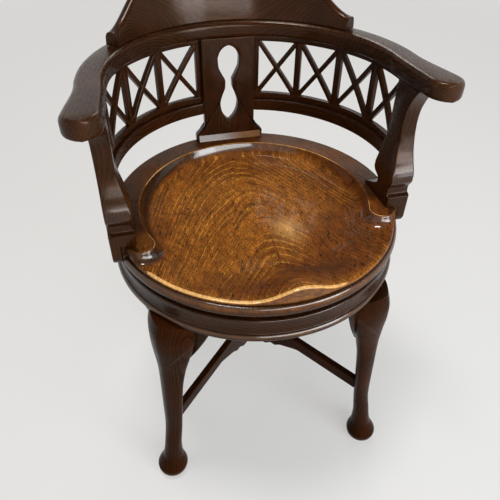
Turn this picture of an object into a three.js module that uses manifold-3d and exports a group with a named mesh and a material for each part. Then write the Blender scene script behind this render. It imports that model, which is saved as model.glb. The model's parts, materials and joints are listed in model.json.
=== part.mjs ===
// A revolving desk chair in oak: a round dished seat with horseshoe arms turns on an iron
// spindle over a moulded ring frame, four cabriole legs and an arched X stretcher.
// Millimetres, +Z up, and the sitter faces -Y. Left and right are those of someone who stands in
// front of the chair: left is -X. Everything is built about the swivel axis and then moved so
// that the origin is on the floor, under the middle of the whole chair.

import * as THREE from 'three';
import { mergeVertices } from 'three/addons/utils/BufferGeometryUtils.js';
import Module from 'manifold-3d';

const wasm = await Module();
wasm.setup();

// Driving sizes
const seatHeight = 470; // floor to the flat rim of the seat
const seatRadius = 230; // top edge of the seat board
const seatThick = 40;
const turningGap = 5; // seat board to ring frame
const ringHeight = 40;
const armHeight = 218; // rim of the seat to the top of the arms
const armThick = 26;
const crestHeight = 82; // middle of the crest rail above the arms
const spindleRadius = 13;

// Shared values
const deg = Math.PI / 180;
const fullTurn = 2 * Math.PI;
const legAngles = [-135 * deg, -45 * deg, 45 * deg, 135 * deg];
const baseTurn = -3.2 * deg; // the base stands turned by this much under the seat
const fit = 0.3; // air between two pieces that touch
const runningFit = 0.15; // air round the spindle, on its radius
const overrun = 4; // how far a cutter runs past what it cuts
const screwRadius = 2.5;
const screwHeadRadius = 4.8;
const screwHeadThick = 2.6;
const screwSides = 10;
const screwDomeShare = 0.5; // flat top of a screw's head, as a share of its radius
const ironSides = 24;

const finishes = {
  seatOak: { color: 0x8a5426, roughness: 0.38, metalness: 0 },
  darkOak: { color: 0x3b2216, roughness: 0.36, metalness: 0 },
  iron: { color: 0x2a2a2c, roughness: 0.6, metalness: 0.8 },
  steel: { color: 0x8c8c90, roughness: 0.4, metalness: 0.9 },
};

// Heights above the floor
const seatBottom = seatHeight - seatThick;
const ringTop = seatBottom - turningGap;
const ringBottom = ringTop - ringHeight;
const armTop = seatHeight + armHeight;
const armBottom = armTop - armThick;

// The shared corners of a geometry merged, its empty triangles dropped, its faces outwards.
function closed(geometry) {
  const bare = geometry.clone();
  bare.deleteAttribute('normal');
  bare.deleteAttribute('uv');
  const merged = mergeVertices(bare);
  const corner = (k) => new THREE.Vector3().fromBufferAttribute(merged.attributes.position, k);
  const faces = [];
  for (let k = 0; k < merged.index.count; k += 3) {
    const face = [0, 1, 2].map((side) => merged.index.getX(k + side));
    if (new Set(face).size === face.length) faces.push(face);
  }
  const volume = faces.reduce((sum, [a, b, c]) => sum + corner(a).dot(corner(b).cross(corner(c))), 0);
  merged.setIndex(faces.flatMap(([a, b, c]) => (volume > 0 ? [a, b, c] : [a, c, b])));
  return merged;
}

// A geometry as a solid that can be cut and joined, and back again.
function solid(geometry) {
  const mesh = closed(geometry);
  const vertProperties = Float32Array.from(mesh.attributes.position.array);
  const triVerts = Uint32Array.from(mesh.index.array);
  return new wasm.Manifold(new wasm.Mesh({ numProp: 3, vertProperties, triVerts }));
}

function geometryOf(shape) {
  const mesh = shape.getMesh();
  const geometry = new THREE.BufferGeometry();
  geometry.setAttribute('position', new THREE.BufferAttribute(mesh.vertProperties, 3));
  geometry.setIndex(new THREE.BufferAttribute(mesh.triVerts, 1));
  return geometry;
}

// One named piece in a group. A shape is a geometry or a solid.
function add(group, name, shape, finish) {
  const geometry = shape.isBufferGeometry ? closed(shape) : geometryOf(shape);
  const mesh = new THREE.Mesh(geometry, new THREE.MeshStandardMaterial(finish));
  mesh.name = name;
  group.add(mesh);
  return mesh;
}

const smooth = (t) => THREE.MathUtils.smoothstep(t, 0, 1);
const mix = THREE.MathUtils.lerp;
const polar = (radius, angle, z) =>
  new THREE.Vector3(radius * Math.cos(angle), radius * Math.sin(angle), z);
const steps = (count) => Array.from({ length: count + 1 }, (unused, k) => k / count);
const turnedBy = (geometry, angle) => geometry.clone().rotateZ(angle);
const mirrored = (geometry) => geometry.clone().scale(-1, 1, 1);

// A box from its lowest to its highest corner.
function block(x0, x1, y0, y1, z0, z1) {
  const box = new THREE.BoxGeometry(x1 - x0, y1 - y0, z1 - z0);
  return box.translate((x0 + x1) / 2, (y0 + y1) / 2, (z0 + z1) / 2);
}

// An upright round bar between two heights.
function bar(radius, z0, z1, sides) {
  const cylinder = new THREE.CylinderGeometry(radius, radius, z1 - z0, sides);
  return cylinder.rotateX(Math.PI / 2).translate(0, 0, (z0 + z1) / 2);
}

// A profile of [radius, height] points that is turned about the Z axis.
function turned(profile, sides) {
  const points = profile.map(([radius, z]) => new THREE.Vector2(radius, z));
  return new THREE.LatheGeometry(points, sides).rotateX(Math.PI / 2);
}

// A flat outline of [x, y] points, with holes, as a plate that stands up in Z.
function plate(outline, thick, holes = []) {
  const shape = new THREE.Shape(outline.map(([x, y]) => new THREE.Vector2(x, y)));
  holes.forEach((hole) => shape.holes.push(new THREE.Path(hole.map(([x, y]) => new THREE.Vector2(x, y)))));
  return new THREE.ExtrudeGeometry(shape, { depth: thick, bevelEnabled: false });
}

// A closed skin over a row of outlines with equal numbers of points, with a flat cap at each end.
function skin(outlines) {
  const count = outlines[0].length;
  const points = outlines.flat();
  const lastRow = points.length - count;
  const faces = [];
  for (let row = 0; row < lastRow; row += count) {
    for (let k = 0; k < count; k += 1) {
      const a = row + k;
      const b = row + ((k + 1) % count);
      faces.push(a, b, b + count, a, b + count, a + count);
    }
  }
  [outlines[0], outlines[outlines.length - 1]].forEach((outline, end) => {
    const middle = outline.reduce((sum, p) => sum.add(p), new THREE.Vector3()).divideScalar(count);
    points.push(middle);
    const first = end === 0 ? 0 : lastRow;
    for (let k = 0; k < count; k += 1) {
      const pair = [first + k, first + ((k + 1) % count)];
      faces.push(points.length - 1, ...(end === 0 ? pair.reverse() : pair));
    }
  });
  const geometry = new THREE.BufferGeometry();
  const places = points.flatMap((p) => p.toArray());
  geometry.setAttribute('position', new THREE.Float32BufferAttribute(places, 3));
  geometry.setIndex(faces);
  return geometry;
}

// A section of [radius, height] points swept about the Z axis from one angle to another.
function arcSweep(section, start, end, count) {
  return skin(steps(count).map((t) => section.map(([radius, z]) => polar(radius, mix(start, end, t), z))));
}

// Round-headed wood screw, head down, its shank pointing up from z = 0.
function screw(length) {
  return turned([
    [0, -screwHeadThick], [screwHeadRadius * screwDomeShare, -screwHeadThick],
    [screwHeadRadius, -screwHeadThick / 2], [screwHeadRadius, 0],
    [screwRadius, 0], [screwRadius, length - screwRadius], [0, length],
  ], screwSides);
}

// Ring frame: four sawn segments with a moulded outer face and a bead at its foot
const ringStep = 2.5; // how far its top edge stands outside the seat's top edge
const ringWall = 32.5;
const ringBeadOut = 3.5;
const ringBeadHeight = 12;
const ringRadius = seatRadius + ringStep;
const ringInner = ringRadius - ringWall;
const ringMiddle = ringRadius - ringWall / 2;
const ringEdgeRound = 3;
const ringHollow = 1; // depth of the hollow in its outer face
// Share of how far the bead stands out, share of the bead's height above the underside
const ringBeadShares = [[0.2, 0], [1, 0.25], [1, 0.7], [0.25, 1]];
const segmentStart = 22.5 * deg; // joints lie between the legs and the bearers
const segmentSteps = 14;
const segmentJoint = fit / ringMiddle; // half of the gap at a joint, as an angle

// Bearers: two rails, halved where they cross, that carry the iron socket inside the ring
const bearerWidth = 60;
const bearerDepth = 30;
const plateThick = 6;
const thrustThick = 3;
const flangeThick = 6;
const bearerTop = seatBottom - plateThick - thrustThick - flangeThick - 4 * fit;
const bearerBottom = bearerTop - bearerDepth;
const tenonWidth = 26;
const tenonHeight = 14;
const tenonReach = 12;
const tenonBottom = bearerBottom + (bearerDepth - tenonHeight) / 2;

// Cabriole legs: a full knee under the ring, a thin ankle and a round pad foot
const legTop = ringBottom - fit;
const legSplay = 50; // foot centre outside the ring's middle
const kneeHalf = 46; // half width along the ring, where the knee is widest
const legTenonRadius = 10;
const legTenonReach = 12;
const legSides = 12;
// Share of the leg's height, share of the splay, share of the knee's half width,
// share of that width in depth, roundness
const legStationShares = [
  [0, 1, 0.463, 1, 2], [0.018, 1, 0.57, 1, 2], [0.04, 1, 0.6, 1, 2], [0.07, 0.97, 0.517, 1, 2],
  [0.11, 0.91, 0.392, 1, 2], [0.19, 0.83, 0.345, 0.95, 1.9], [0.32, 0.67, 0.37, 0.8, 1.75],
  [0.468, 0.578, 0.428, 0.75, 1.65], [0.611, 0.488, 0.485, 0.75, 1.6], [0.715, 0.386, 0.589, 0.75, 1.55],
  [0.806, 0.292, 0.763, 0.75, 1.5], [0.884, 0.216, 0.922, 0.75, 1.45], [0.949, 0.13, 1, 0.75, 1.4],
  [1, 0.022, 0.965, 0.75, 1.4],
];

function legBody(grow) {
  const outlines = legStationShares.map(([rise, splay, width, depth, roundness]) => {
    const middle = ringMiddle + legSplay * splay;
    const half = kneeHalf * width + grow;
    const deep = kneeHalf * width * depth + grow;
    return steps(legSides).slice(1).map((t) => {
      const side = [Math.cos(t * fullTurn), Math.sin(t * fullTurn)];
      const size = (Math.abs(side[0]) ** roundness + Math.abs(side[1]) ** roundness) ** (1 / roundness);
      return new THREE.Vector3(middle + (deep * side[0]) / size, (half * side[1]) / size, legTop * rise);
    });
  });
  return skin(outlines);
}

// Knee brackets: sawn ears under the ring, on both sides of each leg
const earReach = 68; // from the leg's middle along the ring
const earDrop = 100;
const earThick = 12;
const earSetIn = 1; // inside the middle of the ring
const earTipDrop = 4;
const earRoot = 6; // the two ears of a leg end this far from its middle
const earFootReach = 23; // end of the curve
const earCornerReach = 39; // the curve bends towards this corner
const earCornerDrop = 48;
const earCurveSteps = 6;

function earPlate() {
  const reach = new THREE.Vector2(earReach, -earTipDrop);
  const foot = new THREE.Vector2(earFootReach, -earDrop);
  const corner = new THREE.Vector2(earCornerReach, -earCornerDrop);
  const curve = new THREE.QuadraticBezierCurve(reach, corner, foot).getPoints(earCurveSteps);
  const outline = [[earRoot, 0], [earReach, 0], ...curve.map((p) => [p.x, p.y]), [earRoot, -earDrop]];
  const board = plate(outline, earThick).translate(0, 0, -earThick / 2);
  return board.rotateX(Math.PI / 2).rotateZ(Math.PI / 2).translate(ringMiddle - earSetIn, 0, legTop);
}

// X stretcher: two boards on edge that arch up to the middle
const stretcherThick = 12;
const stretcherTop = 198; // top edge at the crossing, above the floor
const stretcherSlope = 0.18;
const stretcherRun = 24.5; // depth of the thin run
const stretcherNib = 53; // depth at the nib
const stretcherHub = 65; // depth at the crossing
const nibInner = 50;
const nibOuter = 60;
const archStart = 72;
const archStartDepth = 42;
const archEnd = 112;
const housing = 12; // how far a stretcher's end is let into the leg
const housedSplayShare = 0.64; // the leg's place and half width where the stretcher meets it
const housedHalfShare = 0.29;
const stretcherReach = ringMiddle + legSplay * housedSplayShare - kneeHalf * housedHalfShare + housing;

function stretcherBoard(grow) {
  const edge = (x) => stretcherTop - stretcherSlope * x;
  const below = [
    [stretcherReach, stretcherRun], [archEnd, stretcherRun], [archStart, archStartDepth],
    [nibOuter, stretcherNib], [nibInner, stretcherNib], [nibInner - stretcherThick, stretcherHub],
  ];
  const right = below.map(([x, depth]) => [x, edge(x) - depth - grow]);
  const left = right.map(([x, z]) => [-x, z]).reverse();
  const ends = [[-stretcherReach, edge(stretcherReach) + grow], [0, edge(0) + grow]];
  const outline = [...ends, [stretcherReach, edge(stretcherReach) + grow], ...right, ...left];
  const thick = stretcherThick + 2 * grow;
  return plate(outline, thick).translate(0, 0, -thick / 2).rotateX(Math.PI / 2);
}

function halved(board, below) {
  const half = stretcherThick / 2 + fit;
  const middle = stretcherTop - stretcherHub / 2;
  const [low, high] = below ? [0, middle + fit / 2] : [middle - fit / 2, seatHeight];
  return solid(board).subtract(solid(block(-half, half, -half, half, low, high)));
}

// Iron swivel: flanged socket on the bearers, spindle and plate that turn with the seat
const socketBore = (spindleRadius + runningFit) / Math.cos(Math.PI / ironSides);
const socketWall = 6.5;
const socketLength = 70;
const flangeRadius = 56;
const flangeScrewRadius = 44;
const flangeTop = bearerTop + fit + flangeThick;
const socketBottom = flangeTop - socketLength;
const plateBottom = seatBottom - fit - plateThick;
const plateReach = 165;
const plateArmHalf = 19;
const plateScrewInset = 20; // its screws inside the ends of its arms
const plateScrewRadius = plateReach - plateScrewInset;
const plateScrewLength = 16;
const flangeScrewLength = 26;
const thrustRadius = 30;
const washerRadius = 24;
const washerThick = 2.5;
const nutRadius = 19;
const nutThick = 11;
const nutSides = 6;
const spindleTail = 14; // spindle below the nut
const splitPinRadius = 2;
const splitPinHalf = 19;
const socketOuter = socketBore + socketWall;
const screwTurns = [0, 1, 2, 3].map((quarter) => (quarter * Math.PI) / 2);
const screwSeat = new THREE.Vector3(flangeScrewRadius, 0, flangeTop);
const washerTop = socketBottom - fit;
const nutTop = washerTop - washerThick - fit;
const spindleBottom = nutTop - nutThick - spindleTail;
const splitPinHeight = spindleBottom + spindleTail / 2;

const base = new THREE.Group();
base.rotation.z = baseTurn;

const ringSection = [
  [ringInner, ringBottom],
  ...ringBeadShares.map(([out, rise]) => [
    ringRadius + ringBeadOut * out, ringBottom + ringBeadHeight * rise]),
  [ringRadius - ringHollow, ringTop - ringHeight / 2], [ringRadius, ringTop - ringEdgeRound],
  [ringRadius - ringEdgeRound, ringTop], [ringInner, ringTop],
];
const ringNames = ['ring_segment_left', 'ring_segment_front', 'ring_segment_right', 'ring_segment_back'];
ringNames.forEach((name, k) => {
  const legTurn = legAngles[k];
  const start = legTurn - segmentStart + segmentJoint / 2;
  const end = start + Math.PI / 2 - segmentJoint;
  const bearerTurn = legTurn + Math.PI / 4;
  const mortise = block(ringInner - overrun, ringInner + tenonReach + fit, -tenonWidth / 2 - fit,
    tenonWidth / 2 + fit, tenonBottom - fit, tenonBottom + tenonHeight + fit);
  const pocketTop = ringBottom + legTenonReach + fit;
  const pocket = bar(legTenonRadius + fit, ringBottom - overrun, pocketTop, legSides);
  const segment = solid(arcSweep(ringSection, start, end, segmentSteps))
    .subtract(solid(turnedBy(mortise, bearerTurn)))
    .subtract(solid(turnedBy(pocket.translate(ringMiddle, 0, 0), legTurn)));
  add(base, name, segment, finishes.darkOak);
});

const legNames = ['front_left', 'front_right', 'back_right', 'back_left'];
legNames.forEach((name, k) => {
  const tenon = bar(legTenonRadius, legTop - overrun, ringBottom + legTenonReach, legSides);
  const leg = solid(legBody(0))
    .add(solid(tenon.translate(ringMiddle, 0, 0)))
    .subtract(solid(stretcherBoard(fit)));
  const placed = geometryOf(leg).rotateZ(legAngles[k]);
  add(base, `leg_${name}`, placed, finishes.darkOak);
  [['a', 1], ['b', -1]].forEach(([side, way]) => {
    const ear = solid(earPlate().scale(1, way, 1)).subtract(solid(legBody(fit)));
    add(base, `bracket_${name}_${side}`, geometryOf(ear).rotateZ(legAngles[k]), finishes.darkOak);
  });
});

const stretcherTurn = legAngles[2];
const lowerStretcher = geometryOf(halved(stretcherBoard(0), false));
const upperStretcher = geometryOf(halved(stretcherBoard(0), true));
add(base, 'stretcher_lower', lowerStretcher.rotateZ(stretcherTurn), finishes.darkOak);
add(base, 'stretcher_upper', upperStretcher.rotateZ(-stretcherTurn), finishes.darkOak);

function bearer(below) {
  const half = bearerWidth / 2;
  const shoulder = Math.sqrt(ringInner ** 2 - half ** 2) * Math.cos(Math.PI / 4 / segmentSteps) - fit;
  const reach = ringInner + tenonReach;
  const middle = bearerTop - bearerDepth / 2;
  const gap = half + fit;
  const [low, high] = below ? [0, middle + fit / 2] : [middle - fit / 2, seatHeight];
  const pilotBottom = flangeTop - flangeScrewLength - fit;
  const pilot = (place) => bar(screwRadius + fit, pilotBottom, seatHeight, legSides).translate(place, 0, 0);
  const tenonHalf = tenonWidth / 2;
  return solid(block(-shoulder, shoulder, -half, half, bearerBottom, bearerTop))
    .add(solid(block(-reach, reach, -tenonHalf, tenonHalf, tenonBottom, tenonBottom + tenonHeight)))
    .subtract(solid(block(-gap, gap, -gap, gap, low, high)))
    .subtract(solid(bar(socketOuter + fit, 0, seatHeight, ironSides)))
    .subtract(solid(pilot(flangeScrewRadius)))
    .subtract(solid(pilot(-flangeScrewRadius)));
}
add(base, 'bearer_across', bearer(false), finishes.darkOak);
add(base, 'bearer_along', geometryOf(bearer(true)).rotateZ(Math.PI / 2), finishes.darkOak);

const socketProfile = [
  [socketBore, flangeTop], [socketBore, socketBottom], [socketOuter, socketBottom],
  [socketOuter, flangeTop - flangeThick], [flangeRadius, flangeTop - flangeThick],
  [flangeRadius, flangeTop], [socketBore, flangeTop],
];
const flangeHole = bar(screwRadius + fit, bearerTop - overrun, flangeTop + overrun, legSides)
  .translate(flangeScrewRadius, 0, 0);
const socketBlank = solid(turned(socketProfile, ironSides));
const socket = screwTurns.reduce(
  (rest, turn) => rest.subtract(solid(turnedBy(flangeHole, turn))), socketBlank);
add(base, 'swivel_socket', socket, finishes.iron);

screwTurns.forEach((turn, k) => {
  const headDown = closed(screw(flangeScrewLength)).rotateX(Math.PI);
  const place = headDown.translate(screwSeat.x, screwSeat.y, screwSeat.z + fit);
  add(base, `socket_screw_${k + 1}`, place.rotateZ(turn), finishes.steel);
});

// Dished seat board. Turns are measured from the front, and depths from the flat rim.
const rimWidth = 42;
const dishDepth = 25;
const wallRun = 26; // the dish's wall, seen from above
const wallDepth = 28; // the wall ends a little below the floor of the dish
const frontDrop = 14; // the front lip below the rim
const lipRise = 76; // the floor rises to the front lip over this run
const frontTurn = 118 * deg;
const frontBlend = 50 * deg;
const seatSides = 48;
const lobeSteps = 9; // seat sides from the front to the middle of the rim's round end
const lobeTurn = (lobeSteps * fullTurn) / seatSides;
const lobeSides = 24;
const pommelRise = 21; // above the front lip
const pommelWidth = 29;
const pommelShift = 8; // the pommel sits a little off the middle
const pommelRun = 90;
const lipRound = 3;
const lipNeck = 1; // the edge draws in above the bead
const beadDrop = 18.5; // top of the bead below the rim
const beadHeight = 18;
const beadOut = 5.5;
const footInset = 4;
const footStep = 1;
const rimInner = seatRadius - rimWidth;
const lobeMiddle = (rimInner + seatRadius - lipRound) / 2;
const lobeRadius = lobeMiddle - rimInner;
const edgeSpare = lipRound / 2; // cutters at the top edge run out past it by this much
const blankTop = seatHeight + seatThick / 2; // top of the blank, above the pommel
const floorShares = [0.3, 0.6, 0.69, 0.77, 0.85, 0.93, 1];
// Share of the wall's run inside the rim, share of its depth
const wallShares = [[1, 1], [0.72, 0.96], [0.45, 0.83], [0.24, 0.65], [0.09, 0.41], [0, 0]];
// Share of the bead's height below its top, share of how far it stands out
const beadShares = [[0.03, 0.5], [0.3, 0.93], [0.6, 1], [0.85, 0.7], [1, 0]];

// Height of the dish and the front lip, with the pommel, and without the rim. A turn is 0 at the front.
function seatFloor(radius, turn) {
  const side = Math.min(turn, fullTurn - turn);
  const front = smooth((frontTurn - side) / frontBlend);
  const lip = mix(-dishDepth, -frontDrop, smooth((radius - seatRadius + lipRise) / lipRise) * front);
  const across = radius * Math.sin(turn) - pommelShift;
  const along = smooth((radius * Math.cos(turn) - seatRadius + pommelRun) / pommelRun);
  return seatHeight + lip + pommelRise * along * Math.exp(-((across / pommelWidth) ** 2) / 2);
}

// What is left of the blank outside the dish: the flat rim with a round lobe at each end.
function seatRim() {
  const outer = seatRadius + beadOut + overrun;
  const wall = wallShares.map(([run, fall]) => [wallRun * run, seatHeight - wallDepth * fall]);
  const section = [
    [rimInner - wallRun, seatBottom - overrun], ...wall.map(([run, z]) => [rimInner - run, z]),
    [seatRadius - lipRound, seatHeight], [seatRadius + edgeSpare, seatHeight - lipRound - edgeSpare],
    [outer, seatHeight - lipRound - edgeSpare], [outer, seatBottom - overrun],
  ];
  const lobe = turned([
    [0, seatBottom - overrun], [lobeRadius + wallRun, seatBottom - overrun],
    ...wall.map(([run, z]) => [lobeRadius + run, z]), [0, seatHeight],
  ], lobeSides).translate(0, -lobeMiddle, 0);
  const start = lobeTurn - Math.PI / 2;
  const sweep = arcSweep(section, start, Math.PI - start, seatSides - 2 * lobeSteps);
  return solid(sweep).add(solid(turnedBy(lobe, lobeTurn))).add(solid(turnedBy(lobe, -lobeTurn)));
}

function seatBoard() {
  const row = (radius, height) => steps(seatSides).slice(1)
    .map((t) => polar(radius, t * fullTurn - Math.PI / 2, height(t * fullTurn)));
  const lip = seatRadius - lipRound;
  const floor = floorShares.map((share) => row(lip * share, (turn) => seatFloor(lip * share, turn)));
  const outside = seatRadius + edgeSpare;
  const edge = row(outside, (turn) => seatFloor(lip, turn) - lipRound - edgeSpare);
  const above = skin([...floor, edge, row(outside, () => blankTop + overrun)]);
  const beadTop = seatHeight - beadDrop;
  const beadFoot = beadTop - beadHeight;
  const blank = turned([
    [0, seatBottom], [seatRadius - footInset, seatBottom], [seatRadius - footInset, beadFoot - footStep],
    ...beadShares.map(([drop, out]) => [seatRadius + beadOut * out, beadTop - beadHeight * drop]).reverse(),
    [seatRadius - lipNeck, beadTop], [seatRadius, beadTop + edgeSpare],
    [seatRadius, blankTop], [0, blankTop],
  ], seatSides);
  return solid(blank).subtract(solid(above).subtract(seatRim()));
}

// Arm supports: S-fronted boards with a foot block that is notched over the seat's edge
const supportProud = 7; // outer face outside the seat's top edge
const supportThick = 38;
const supportThin = 26; // thickness above the neck
const supportReach = 79; // front of the foot block from the swivel axis
const supportBack = -18; // place of the back edge, along Y
const heelBack = 3; // back of the foot block
const slotBack = -36; // bottom of the hollow above the foot block
const notchWall = 16; // part of the block that goes down outside the seat
const blockDrop = 36;
const blockRound = 16;
const heelRound = 8;
const thinStart = 55;
const thinEnd = 105;
const armTenonRadius = 9;
const armTenonReach = 14;
const armTenonPlace = -41; // along Y
const supportOuter = seatRadius + supportProud;
const supportInner = supportOuter - supportThick;
const supportHeight = armBottom - fit - seatHeight;
const supportMiddle = supportOuter - supportThin / 2;
const notchFace = supportOuter - notchWall;
// Share of the reach in front of the axis, share of the height above the rim
const supportFrontShares = [
  [1, 0.094], [0.972, 0.105], [0.92, 0.112], [0.905, 0.14], [0.912, 0.172], [0.962, 0.205], [1, 0.242],
  [1, 0.272], [0.975, 0.315], [0.93, 0.355], [0.86, 0.408], [0.785, 0.48], [0.73, 0.558], [0.697, 0.636],
  [0.684, 0.71], [0.7, 0.785], [0.76, 0.86], [0.85, 0.93], [0.97, 1],
];
// Share of the way from the foot block's back to the bottom of the hollow, share of the height of
// the rail's underside
const supportHeelShares = [
  [0.525, 0.87], [0.64, 0.742], [0.95, 0.628], [1, 0.483], [0.85, 0.369], [0.385, 0.202],
  [0.08, 0.0923], [0, 0.0057],
];
const blockRoundShares = [[1, 0], [0.35, 0.12], [0.1, 0.4], [0, 1]];
const supportScrewPlaces = [-58, -18]; // along Y
const supportScrewDrop = 14;
const supportScrewLength = 34;
const plugRadius = 6;
const plugThick = 5;

// A plate whose outline lies in Y and Z, with its thickness along X from x = 0.
const upright = (geometry) => geometry.rotateX(Math.PI / 2).rotateZ(Math.PI / 2);
// A body that was made along Z, laid along X, its top towards the swivel axis.
const laidInwards = (geometry) => geometry.rotateY(-Math.PI / 2);

function supportPlate() {
  const front = supportFrontShares.map(([out, rise]) => [-supportReach * out, supportHeight * rise]);
  const heel = supportHeelShares.map(([way, rise]) => [mix(heelBack, slotBack, way), railRise * rise]);
  const toe = blockRoundShares.map(([out, rise]) => [
    -supportReach + blockRound * out, -blockDrop + blockRound * rise]);
  const outline = [
    [heelBack - heelRound, -blockDrop], ...toe, ...front, [supportBack, supportHeight],
    [supportBack, railRise - overrun], ...heel, [heelBack, -blockDrop + heelRound],
  ];
  return upright(plate(outline, supportThick)).translate(supportInner, 0, seatHeight);
}

function support() {
  const face = supportOuter - supportThin;
  const wedge = [
    [supportInner - overrun, thinStart], [supportInner, thinStart], [face, thinEnd],
    [face, supportHeight + overrun], [supportInner - overrun, supportHeight + overrun],
  ];
  const depth = supportReach + 2 * overrun;
  const thinning = plate(wedge, depth).rotateX(Math.PI / 2).translate(0, overrun, seatHeight);
  const overSeat = block(0, notchFace + fit, -seatRadius, seatRadius, 0, seatHeight + fit);
  const tenon = bar(armTenonRadius, armBottom - overrun, armBottom + armTenonReach, legSides);
  const body = solid(supportPlate()).subtract(solid(thinning)).subtract(solid(overSeat))
    .add(solid(tenon.translate(supportMiddle, armTenonPlace, 0)));
  return supportScrewPlaces.reduce((rest, place) => {
    const height = seatHeight - supportScrewDrop;
    const shank = laidInwards(bar(screwRadius + fit, 0, notchWall + overrun, legSides));
    const sunk = plugThick + screwHeadThick + 3 * fit;
    const counterbore = laidInwards(bar(plugRadius + fit, -overrun, sunk, legSides));
    return rest.subtract(solid(shank.translate(supportOuter, place, height)))
      .subtract(solid(counterbore.translate(supportOuter, place, height)));
  }, body);
}

// Horseshoe back: lower rails, pierced fret panels and the splat
const railDrop = 14; // rail's inner face inside the seat's top edge
const railThick = 20;
const railHeight = 22;
const railRise = 54; // underside of the rail above the rim
const fretThick = 10;
const fretFrame = 11;
const fretBar = 4; // half the width of a lattice bar
const fretBays = 4;
const splatHalf = 65; // at the plinth
const splatWaistHalf = 48;
const splatThick = 15;
const splatSetIn = 22; // its front face inside the seat's top edge
const splatPlinth = 13;
const splatTongueHalf = 38;
const splatTongueThick = 7;
const splatTongueReach = 8;
const splatShift = 5; // the splat stands a little off the middle
const arcCount = 10;
const fretArcCount = 12;
const railSpare = 8 * deg; // swept past the ends, and then cut square
const railInner = seatRadius - railDrop;
const railOuter = railInner + railThick;
const railTop = seatHeight + railRise + railHeight;
const fretInner = railInner + (railThick - fretThick) / 2;
const fretMiddle = fretInner + fretThick / 2;
const splatFront = seatRadius - splatSetIn;
const splatMiddle = splatFront + splatThick / 2;
const splatHeight = armBottom - seatHeight - 2 * fit;

// What lies between a support's back and the splat's side, which is at x = start.
function sideBay(start) {
  return solid(block(start + fit, 2 * seatRadius, supportBack + fit, 2 * seatRadius, 0, armTop));
}

function lowerRail(splatSide) {
  const railBottom = railTop - railHeight;
  const section = [
    [railInner, railBottom], [railOuter, railBottom], [railOuter, railTop], [railInner, railTop],
  ];
  const whole = solid(arcSweep(section, -railSpare, Math.PI / 2, arcCount));
  return whole.intersect(sideBay(splatSide));
}

// Holes of one lattice bay: four triangles left by two crossed bars
function bayHoles(x0, x1, y0, y1) {
  const wide = x1 - x0;
  const high = y1 - y0;
  const slant = Math.hypot(wide, high);
  const dx = (fretBar * slant) / high;
  const dy = (fretBar * slant) / wide;
  const xm = (x0 + x1) / 2;
  const ym = (y0 + y1) / 2;
  return [
    [[x0 + dx, y1], [xm, ym + dy], [x1 - dx, y1]],
    [[x0 + dx, y0], [x1 - dx, y0], [xm, ym - dy]],
    [[x0, y0 + dy], [xm - dx, ym], [x0, y1 - dy]],
    [[x1, y0 + dy], [x1, y1 - dy], [xm + dx, ym]],
  ];
}

function fretPanel(splatSide) {
  const start = Math.asin((supportBack + fit) / fretInner);
  const fretOuter = fretInner + fretThick;
  const end = Math.acos((splatSide + fit) / fretOuter);
  const low = railTop + fit;
  const high = armBottom - fit;
  const long = (end - start) * fretMiddle;
  const pitch = (long - fretFrame) / fretBays;
  const section = [[fretInner, low], [fretOuter, low], [fretOuter, high], [fretInner, high]];
  const whole = solid(arcSweep(section, start - railSpare, end + railSpare, fretArcCount));
  const holes = steps(fretBays).slice(1).flatMap((t) => {
    const x1 = t * (long - fretFrame);
    return bayHoles(x1 - pitch + fretFrame, x1, low + fretFrame, high - fretFrame);
  });
  return holes.reduce((rest, hole) => {
    const middle = hole.reduce((sum, [x]) => sum + x, 0) / hole.length;
    const flat = plate(hole.map(([x, y]) => [x - middle, y]), fretThick + 2 * overrun);
    const cutter = upright(flat).translate(fretInner - overrun, 0, 0).rotateZ(start + middle / fretMiddle);
    return rest.subtract(solid(cutter));
  }, whole.intersect(sideBay(splatSide)));
}

// Share of the plinth's half width, share of the splat's height
const splatSideShares = [[1, 0], [1, 0.068], [0.738, 0.157], [0.738, 1]];
// One side of the pierced vase: share of the waist's half width, share of the height
const splatVaseShares = [
  [0, 0.2], [0.16, 0.24], [0.3, 0.31], [0.34, 0.38], [0.26, 0.46], [0.14, 0.54], [0.13, 0.6],
  [0.24, 0.66], [0.38, 0.74], [0.4, 0.81], [0.3, 0.88], [0.12, 0.92], [0, 0.93],
];

function tongue(grow, z0, z1) {
  const half = splatTongueHalf + grow;
  const thick = splatTongueThick / 2 + grow;
  const box = block(-half, half, splatMiddle - thick, splatMiddle + thick, z0 - grow, z1 + grow);
  return solid(box.translate(splatShift, 0, 0));
}
const lowTongue = (grow) => tongue(grow, seatHeight + fit - splatTongueReach, seatHeight + splatPlinth);
const highTongue = (grow) => tongue(grow, armBottom - splatPlinth, armBottom - fit + splatTongueReach);

function splat() {
  const right = splatSideShares.map(([out, rise]) => [splatHalf * out, splatHeight * rise]);
  const left = right.map(([x, y]) => [-x, y]).reverse();
  const vaseRight = splatVaseShares.map(([out, rise]) => [splatWaistHalf * out, splatHeight * rise]);
  const vaseLeft = vaseRight.slice(1, -1).map(([x, y]) => [-x, y]).reverse();
  const board = plate([...right, ...left], splatThick, [[...vaseRight, ...vaseLeft]]).rotateX(Math.PI / 2);
  const placed = board.translate(splatShift, splatFront + splatThick, seatHeight + fit);
  return solid(placed).add(lowTongue(0)).add(highTongue(0));
}

// Arms: flat boards that follow the horseshoe and end in broad round hand-holds
const bowHalf = 20; // half of the arm's width along the bow
const handHalf = 26;
const handSwell = 12; // the hand-hold's middle outside the bow
const armForward = 118; // front of the swivel axis
const noseShare = 0.76; // where the round nose starts
const armJoint = 48 * deg; // joint with the back piece, from the side
const edgeShare = 0.5; // corner round, as a share of half the thickness
const forwardShares = [1, 0.985, 0.95, 0.89, 0.82, 0.74, 0.6, 0.42, 0.22, 0];
const armArcCount = 6;
const bowArcCount = 12;
const bowRadius = railInner + railThick / 2;

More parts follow.
